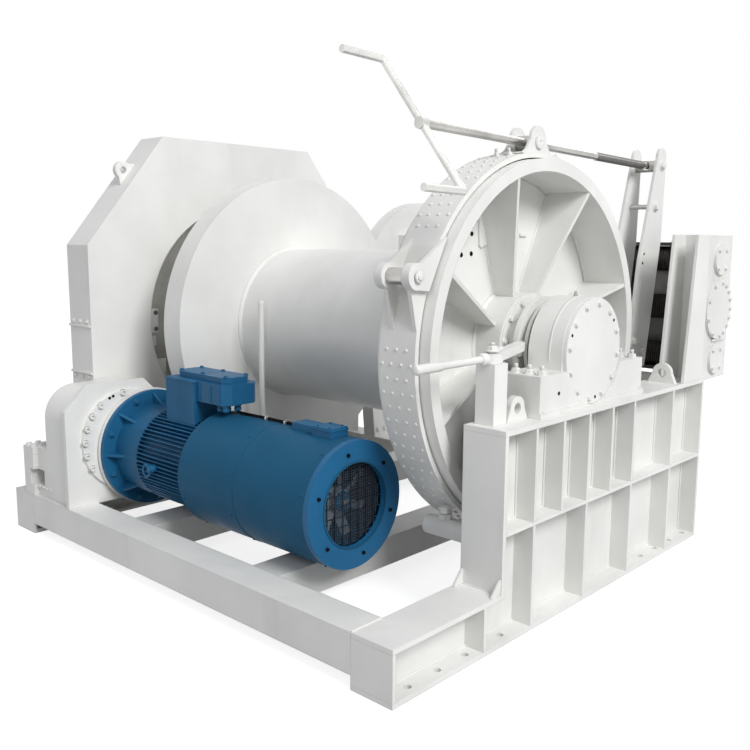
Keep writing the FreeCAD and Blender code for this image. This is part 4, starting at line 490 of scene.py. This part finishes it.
# Motor
def motor():
    ring_face, opening, cowl_radius = -481, 163.5, 249.2
    scatter("motor_flange_bolts", *ON_MOTOR, stud_nut(0.0135, 1.5),
            around(MOTOR_Y, MOTOR_Z, 247, -1833, [22.5 + 45 * i for i in range(8)]))
    legs = [polar(25, 15 * i) for i in range(24)]
    rods("lifting_ring", *ON_MOTOR, [[(-1540 + across, -1034, 410 + up) for across, up in legs]], 6.5,
         closed=True, smooth=True)
    turned("lifting_ring_boss", *ON_MOTOR, [(17, 0), (17, 20), (14, 24), (14, 32), (9, 36)], (-1512, -1010, 422),
           -Y, 20)
    seam = [(cowl_radius, 0), (cowl_radius + 1.4, 0.5), (cowl_radius + 1.4, 9.5), (cowl_radius, 10)]
    hoop("cowl_seam", *ON_COWL, seam, (-922, MOTOR_Y, MOTOR_Z), X)
    screws = []
    for x in (-944, -524, -1262):
        for angle in (-62, -22, 18, 58, 122, 162, 202, 242):
            across, up = polar(cowl_radius, angle)
            screws.append((x, MOTOR_Y - across, MOTOR_Z + up, radial(angle), 0))
    scatter("cowl_screws", *ON_COWL, rivet(0.0065), screws)
    # a second set of fins, one between each pair of the solid's
    blades = []
    points, faces = bar((-1655, -1.8, 187), (-1280.5, 1.8, 215))
    for i in range(COOLING_FINS):
        turn = Matrix.Rotation(2 * math.pi * (i + 0.5) / COOLING_FINS, 3, "X")
        blades.append(([turn @ p + MOTOR for p in points], faces))
    points, faces = joined(*blades)
    piece("fins_between", *ON_MOTOR, points, faces, bevel=0.0008)
    # fine mesh behind the coarse grille: upright wires, and level ones behind them
    wires, pitch, upright_x, level_x = [], 10.5, -515.5, -517
    for i in range(-15, 16):
        off = i * pitch
        half = math.sqrt(opening ** 2 - off ** 2)
        wires.append([(upright_x, MOTOR_Y + off, MOTOR_Z - half), (upright_x, MOTOR_Y + off, MOTOR_Z + half)])
        wires.append([(level_x, MOTOR_Y - half, MOTOR_Z + off), (level_x, MOTOR_Y + half, MOTOR_Z + off)])
    rods("guard_mesh", "base", "motor_paint", MESH, wires, 0.9)
    scatter("fan_ring_screws", *BASE_BLACK, socket_screw(0.0075),
            around(MOTOR_Y, MOTOR_Z, 203, ring_face, [18 + 60 * i for i in range(6)]))
    hoop("fan_ring_lip", *ON_COWL, [(opening, 0), (171, 0), (171, 2.4), (opening, 3)],
         (ring_face, MOTOR_Y, MOTOR_Z), X)
    for name, material, r, depth, sides in (("cap", COWL, 40, 12, 32), ("nut", STEEL, 16, 22, 6)):
        turned("fan_hub_" + name, "fan", "motor_paint", material,
               [(r, 0), (r, depth * 0.7), (r * 0.85, depth), (r * 0.3, depth)], (-555, MOTOR_Y, MOTOR_Z), X, sides)
    scatter("terminal_lid_bolts", *ON_MOTOR, hex_bolt(0.0085),
            [(x, y, 843, Z, 10) for x in (-1516, -1358, -1198) for y in (-852, -744)])
    scatter("small_lid_screws", *ON_MOTOR, socket_screw(0.005),
            [(x, y, 716, Z, 10) for x in (-650, -585) for y in (-835, -769)])
    strips("terminal_seams", *ON_MOTOR,
           [((-1569, -909, 806), (-1351, -701, 816)), ((-672, -851, 703), (-563, -753, 709))], 2.5)
    strips("terminal_ribs", *ON_MOTOR, [((x, -894.5, 736), (x + 7, -889, 808)) for x in (-1330, -1256, -1196)], 1.2)
    gland = [(17, 0), (17, 9), (14, 10), (14, 16), (16, 17), (16, 27), (11, 33), (8, 34)]
    for i, (x, y) in enumerate(((-1186, -862), (-1222, -862), (-1186, -800))):
        turned("cable_gland_%d" % (i + 1), *ON_MOTOR, gland, (x, y, 728), -Z, 12)
    rods("box_conduit", *BASE_BLACK,
         [[(-1186, -800, 696), (-1182, -800, 690), (-1150, -797, 689), (-1050, -793, 689), (-950, -792, 689),
           (-860, -792, 689), (-800, -792, 689)]], 6, smooth=True)
    # clips over the conduit
    strips("cowl_clips", "base", "bare_steel", STEEL,
           [((-1004, -806, 680), (-992, -778, 697)), ((-886, -806, 680), (-874, -778, 697))], 1.5)


# Brake wheel and band
def wheel():
    web, hub, rim = -382, 222, 692
    # near-black dishes: painted shade in the web's holes
    scatter("wheel_web_holes", "drum", "dark_steel", BLACK_AND_PAINTED_SHADE, hole_rim(0.009),
            [(web, y, z, X, 0) for y, z in ((-243, 1448), (-309, 1365), (-244, 1369))])
    pad = [(-187, 1392), (-127, 1410), (-118, 1424), (-140, 1548), (-154, 1556), (-196, 1538), (-206, 1524),
           (-199, 1402)]
    points, faces = prism(pad, web, 9)
    piece("wheel_web_pad", *ON_DRUM, points, faces, bevel=0.002)
    strips("wheel_web_key", *ON_DRUM, [((web, 92, 1440), (web + 10, 140, 1452))])
    welds = []
    for i in range(8):
        across, up = polar(1, 26 + 45 * i)
        for beside in (-10, 10):
            welds.append([(web + 2, beside * up - r * across, DRUM_Z + r * up + beside * across)
                          for r in (hub, rim)])
    rods("wheel_rib_welds", *ON_DRUM, welds, 4)
    hoop("wheel_rim_weld", *ON_DRUM, [(689, 0), (701, 0), (701, 12)], (web, 0, DRUM_Z), X, 128)
    hoop("wheel_hub_weld", *ON_DRUM, [(213, 0), (227, 0), (213, 12)], (web, 0, DRUM_Z), X, 64)
    hoop("hub_ring", *ON_DRUM, [(160, 0), (205, 0), (205, 4), (200, 5), (164, 5), (160, 4)], (-255, 0, DRUM_Z), X)
    scatter("hub_bolts", *ON_DRUM, hex_bolt(0.012), around(0, DRUM_Z, 188, -250, [8 + 30 * i for i in range(12)]))
    hoop("drum_flange_weld", *ON_DRUM, [(379, 0), (394, 0), (379, 14)], (-1692, 0, DRUM_Z), X)


def band():
    outside, pins = 775, 842

    def on_band(x, angle, radius=outside):
        """Spot on the band's outside, or on another circle about the drum."""
        way = radial(angle)
        return x, way.y * radius, DRUM_Z + way.z * radius, way, 0

    def covered(angle, x):
        """Under the screw's bracket, or under the ear of the anchor pin."""
        return 79 < angle < 101 or (150 < angle < 166 and -318 < x < -272)
    for name, angles in (("upper", range(38, 166, 4)), ("lower", range(203, 366, 4))):
        spots = []
        for i, angle in enumerate(angles):
            row = (-374, -332, -284, -240) if i % 2 else (-353, -308, -262)
            spots += [on_band(x, angle) for x in row if not covered(angle, x)]
        scatter("band_rivets_" + name, *ON_BASE, rivet(0.0075), spots)
    ends = []
    for angle, front, back in ((21, -194, -372), (166, -248, -342)):
        for x, way in ((front, X), (back, -X)):
            _, y, z, _, _ = on_band(x, angle, pins)
            ends.append((x, y, z, way, 0))
    scatter("band_pin_ends", *ON_BASE,
            rings([(0.021, -0.003), (0.021, 0.003), (0.013, 0.004), (0.013, 0.0075), (0.009, 0.009)], 20), ends)
    scatter("screw_bracket_nuts", *ON_BASE, stud_nut(0.013, 2.2),
            [on_band(x, angle) for angle in (77.5, 102.5) for x in (-325, -265)])
    strips("screw_bracket_foot", *ON_BASE, [((-362, -128, 1761), (-228, 128, 1768))])
    screw_z = 1813
    scatter("trunnion_ends", *ON_BASE,
            rings([(0.026, -0.005), (0.026, 0.004), (0.022, 0.006), (0.008, 0.006), (0.006, 0.003)], 24),
            [(-235, 0, screw_z, X, 0), (-355, 0, screw_z, -X, 0)])
    # thread up to the lever's nut: a ridge wound round the screw
    tilt = math.radians(-1.1)
    along = Vector((0, math.cos(tilt), math.sin(tilt)))
    begin = 560
    start = Vector((-295, begin, screw_z + begin * math.tan(tilt)))
    turns, sides, pitch = 55, 14, 8.4
    ridge = ((16.2, -3.4), (18.6, -1.2), (18.6, 1.2), (16.2, 3.4))
    points, faces = [], []
    for i in range(turns * sides + 1):
        angle = 2 * math.pi * i / sides
        out = X * math.cos(angle) + along.cross(X) * math.sin(angle)
        points += [(start + along * (pitch * i / sides + step) + radius * out) / 1000 for radius, step in ridge]
    for i in range(turns * sides):
        faces += [(a, a + 1, a + 5, a + 4) for a in range(4 * i, 4 * i + 3)]
    piece("screw_thread", "crank", "dark_steel", DARK, points, faces, angle=60)
    turned("screw_thread_core", "crank", "dark_steel", DARK, [(16.1, 0), (16.6, 2), (16.6, 462), (16.1, 465)],
           start, along, 24)


def levers():
    on_lever = ("lever", "machine_paint", WHITE)
    front, back = -223, -367
    pins = ((1034, 1592, 40), (1085, 1792, 22), (875, 940, 30))
    scatter("lever_bolts", *on_lever, hex_bolt(0.019),
            [(front, y, z, X, spin) for y, z, spin in ((968, 880, 12), *pins)])
    scatter("lever_bolts_back", *on_lever, hex_bolt(0.019),
            [(back, y, z, -X, spin) for y, z, spin in pins])
    # near-black dishes: painted shade in the lever's holes
    scatter("lever_holes", "lever", "dark_steel", BLACK_AND_PAINTED_SHADE, hole_rim(0.006),
            [(front, 943, 1363, X, 0), (front, 932, 1319, X, 0)])
    scatter("seat_bolts", *ON_BASE, hex_bolt(0.013),
            [(-345, 1000, 750, Y, 0), (-245, 1000, 750, Y, 10), (-150, 1000, 750, Y, 20)])
    # clutch lever on its post
    on_clutch = ("clutch", "machine_paint", WHITE)
    arm_x, arm_z = -30, 1014
    scatter("clutch_pin_nut", *ON_BASE, stud_nut(0.02, 1.5), [(arm_x, -580, 1039, Z, 0)])
    scatter("clutch_arm_bolts", *on_clutch, hex_bolt(0.0095), [(-67, -500, 1031, Z, 0), (-88, -452, 1031, Z, 20)])
    turned("clutch_collar", *on_clutch, [(19, 0), (22, 3), (22, 26), (17, 32)], (arm_x, -618, arm_z), -Y, 24)
    turned("clutch_grip", *on_clutch,
           [(13.2, 0), (16, 4), (17, 40), (16.5, 110), (18, 128), (15, 138), (6, 141)], (arm_x, -862, arm_z), -Y, 24)


# Bearing, girder and rope guide
def bearing():
    cover_face, circle = 47, 187
    scatter("bearing_cover_bolts", *ON_BASE, hex_bolt(0.0115),
            around(0, DRUM_Z, circle, cover_face, [8 + 30 * i for i in range(12)]))
    # near-black dishes: painted shade in the cover's threaded holes
    scatter("bearing_cover_holes", *BASE_BLACK, hole_rim(0.006),
            around(0, DRUM_Z, circle, cover_face, (23, 143, 263)))
    scatter("bearing_foot_nuts", *ON_BASE, stud_nut(0.018, 1.9),
            [(x, y, 935, Z, 15) for y in (-352, 352) for x in (-82, -22, 32)])
    # near-black dish: painted shade in the oil hole
    scatter("bearing_oil_hole", *BASE_BLACK, hole_rim(0.007), [(57, -270, 860, X, 0)])
    scatter("bearing_sole_bolts", *ON_BASE, hex_bolt(0.008), [(60, y, 802, Z, 0) for y in (-380, 380)])
    turned("grease_cup", "base", "bare_steel", STEEL, [(9, 0), (9, 8), (6, 10), (6, 18), (3, 20)], (-45, 0, 1206),
           Z, 12)
    # black ring between the hub and the bearing housing: painted shade of the gap there
    hoop("shaft_gap_shade", *BASE_BLACK, [(114, 0), (203, 0), (203, 1.5), (114, 1.5)], (-120, 0, DRUM_Z), -X)
    hoop("housing_groove", *ON_BASE, [(211.5, 0), (214.5, 1), (214.5, 7), (211.5, 8)], (-30, 0, DRUM_Z), X)


def girder():
    welds = []
    toe, front, rear, low, shelf, top = -1208, -634, 978, 20, 417, 757
    for side in (-1, 1):
        x = 10.5 * side
        for y in (-457, -269.5, -82, 105.5, 293, 668):
            welds += [[(x, y + edge, shelf + 1), (x, y + edge, top + 1)] for edge in (-9, 9)]
        welds.append([(x, front, shelf), (x, rear, shelf)])
        welds.append([(x, front, top), (x, rear, top)])
        welds.append([(x, toe, low), (x, rear, low)])
    welds.append([(10.5, front - 3, 195), (10.5, front - 3, top + 1)])
    welds.append([(10.5, rear + 2, low), (10.5, rear + 2, top + 1)])
    rods("girder_welds", *ON_BASE, welds, 4)
    rods("frame_welds", *ON_BASE,
         [[(-88, -659.5, 196.5), (88, -659.5, 196.5)], [(-90.5, -1076, 196), (-90.5, -1222, 196)]], 3)
    for name, x in (("outer", 76), ("inner", -88)):
        points, faces = prism([(-657, 195), (-709, 195), (-657, 251)], x, 12)
        piece("toe_gusset_" + name, *ON_BASE, points, faces, bevel=0.001)
    # rest under the brake band, and the upright rod
    turned("band_rest_cap", *ON_BASE, [(38.6, 0), (38.6, 9), (34, 13), (20, 14)], (-337, -530, 328), -X, 40)
    scatter("band_rest_nuts", *ON_BASE, rings([(0.027, 0), (0.027, 0.02), (0.023, 0.024)], 6),
            [(-265, -530, 362, Z, 0), (-265, -530, 389, Z, 25)])
    turned("upright_rod_cap", *ON_BASE, [(13.4, 0), (13.4, 14), (11, 18), (5, 20)], (-1490, -415, 1114), Z, 16)
    turned("upright_rod_foot", *ON_BASE, [(28, 0), (28, 8), (20, 10), (18, 34), (14, 36)], (-1490, -415, 175), Z, 20)


def rope_guide():
    guide_y, screw, upper, lower = 1320, 1087, 1337, 837
    cover_face, left, right = 14, -545, -215
    bolts = around(guide_y, screw, 136, cover_face, [100 + 20 * i for i in range(9)])
    bolts += around(guide_y, screw, 136, cover_face, [-60, -20, 20, 60])
    for height in (lower, upper):
        bolts += around(guide_y, height, 64, cover_face, [45 + 90 * i for i in range(4)])
    scatter("guide_cover_bolts", *ON_BASE, hex_bolt(0.0105), bolts)
    strips("guide_cover_key", *ON_BASE, [((0, 1272, 926), (9, 1428, 938))])
    scatter("carriage_bolts", "carriage", "machine_paint", WHITE, hex_bolt(0.01),
            [(x, y, 1420, Z, 0) for x in (-530, -230) for y in (1280, 1350)])
    # folded gaiters from the end housing to the carriage, and folded sleeves on its bushes
    crest, length, folds = 80, 147, 34
    fold = length / folds
    sleeve = [(r, 12 * i + at) for i in range(24) for r, at in ((57, 2), (64, 5), (64, 9), (57, 12))]
    sleeve += [(50, 290), (50, 2)]
    for name, height, inner in (("screw", screw, 50), ("upper", upper, 47), ("lower", lower, 47)):
        outer = []
        for i in range(folds):
            at = 2 + fold * i
            outer += [(inner + 8, at), (crest, at + fold * 0.42), (crest, at + fold * 0.58)]
        outer.append((inner + 8, 2 + length))
        inside = [(r - 3, h) for r, h in reversed(outer)]
        gaiter = hoop("guide_gaiter_" + name, None, "roller_steel", BELLOWS, outer + inside, (-60, guide_y, height),
                      -X, 40)
        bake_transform(gaiter)
        hoop("carriage_sleeve_" + name, "carriage", "roller_steel", BELLOWS, sleeve, (-526, guide_y, height), X, 40)
    strips("carriage_web", "carriage", "roller_steel", DARK, [((-440, 1366, 790), (-234, 1374, 1400))], 1.5)
    seal = rings([(0.05, -0.001), (0.05, 0.006), (0.046, 0.009), (0.035, 0.009), (0.034, 0.002)], 28, close=False)
    scatter("carriage_seals", "carriage", "machine_paint", WHITE, seal,
            [(x, guide_y, z, way, 0) for x, way in ((left, -X), (right, X)) for z in (lower, upper, screw)])
    scatter("far_plate_bolts", *ON_BASE, hex_bolt(0.014), [(-1920, y, 240, X, 0) for y in (880, 940)])


gearbox()
motor()
wheel()
band()
levers()
bearing()
girder()
rope_guide()


# Camera, light and floor
def camera():
    """Camera at the photograph's place."""
    data = bpy.data.cameras.new("camera")
    data.sensor_width = 36.0
    data.lens = 41.49
    data.clip_end = 60
    place = (1.7155, -3.06, 1.417)
    yaw, pitch, roll = (math.radians(a) for a in (132.92, -8.81, 0.37))
    ahead = Vector((math.cos(pitch) * math.cos(yaw), math.cos(pitch) * math.sin(yaw), math.sin(pitch)))
    level = Vector((math.sin(yaw), -math.cos(yaw), 0))
    up = level.cross(ahead)
    right = level * math.cos(roll) + up * math.sin(roll)
    up = right.cross(ahead)
    thing = bpy.data.objects.new("camera", data)
    bpy.context.scene.collection.objects.link(thing)
    turn = Matrix((right, up, -ahead)).transposed().to_4x4()
    thing.matrix_world = Matrix.Translation(place) @ turn
    bpy.context.scene.camera = thing


def lamp(name, place, target, size, power):
    """Square lamp that looks at its target."""
    data = bpy.data.lights.new(name, "AREA")
    data.shape = "SQUARE"
    data.size = size
    data.energy = power
    thing = bpy.data.objects.new(name, data)
    bpy.context.scene.collection.objects.link(thing)
    thing.location = place
    thing.rotation_euler = (Vector(target) - Vector(place)).to_track_quat("-Z", "Y").to_euler()


def looked_at(tree):
    """1 for rays from the camera, of a reflection and through glass, and 0 for those that only light."""
    path = tree.nodes.new("ShaderNodeLightPath")
    seen = path.outputs["Is Camera Ray"]
    for name in ("Is Glossy Ray", "Is Transmission Ray"):
        both = tree.nodes.new("ShaderNodeMath")
        both.operation = "MAXIMUM"
        tree.links.new(seen, both.inputs[0])
        tree.links.new(path.outputs[name], both.inputs[1])
        seen = both.outputs[0]
    return seen


def surroundings():
    """Soft light from all round that looks white."""
    world = bpy.data.worlds.new("studio")
    bpy.context.scene.world = world
    world.use_nodes = True
    tree = world.node_tree
    tree.nodes.clear()
    seen = looked_at(tree)
    soft = tree.nodes.new("ShaderNodeBackground")
    soft.inputs["Color"].default_value = (0.93, 0.95, 1.0, 1)
    soft.inputs["Strength"].default_value = 0.42
    white = tree.nodes.new("ShaderNodeBackground")
    white.inputs["Color"].default_value = (1, 1, 1, 1)
    white.inputs["Strength"].default_value = 1.0
    blend = tree.nodes.new("ShaderNodeMixShader")
    out = tree.nodes.new("ShaderNodeOutputWorld")
    tree.links.new(seen, blend.inputs["Fac"])
    tree.links.new(soft.outputs[0], blend.inputs[1])
    tree.links.new(white.outputs[0], blend.inputs[2])
    tree.links.new(blend.outputs[0], out.inputs["Surface"])


def ground():
    """Floor that looks white and takes soft shadows."""
    mesh = bpy.data.meshes.new("floor")
    half, low = 20, -0.002
    mesh.from_pydata([(-half, -half, low), (half, -half, low), (half, half, low), (-half, half, low)],
                     [], [(0, 1, 2, 3)])
    floor = bpy.data.objects.new("floor", mesh)
    bpy.context.scene.collection.objects.link(floor)
    material = bpy.data.materials.new("floor")
    material.use_nodes = True
    tree = material.node_tree
    surface = tree.nodes["Principled BSDF"]
    surface.inputs["Base Color"].default_value = (0.45, 0.45, 0.45, 1)
    surface.inputs["Roughness"].default_value = 0.9
    seen = looked_at(tree)
    glow = tree.nodes.new("ShaderNodeEmission")
    glow.inputs["Color"].default_value = (1, 1, 1, 1)
    tree.links.new(spread(tree, seen, 0, 1, 0, 0.8), glow.inputs["Strength"])
    both = tree.nodes.new("ShaderNodeAddShader")
    tree.links.new(surface.outputs[0], both.inputs[0])
    tree.links.new(glow.outputs[0], both.inputs[1])
    tree.links.new(both.outputs[0], tree.nodes["Material Output"].inputs["Surface"])
    mesh.materials.append(material)


camera()
surroundings()
lamp("key", (11.5, -2.6, 10.5), (-0.8, 0, 0.9), 6.0, 1985)
lamp("fill", (0.5, -6.0, 4.5), (-1.0, 0, 0.8), 3.0, 48)
lamp("rear", (-1.5, 5.0, 4.0), (-1.0, 0, 1.0), 3.0, 70)
ground()
bpy.context.scene.view_settings.view_transform = "Standard"
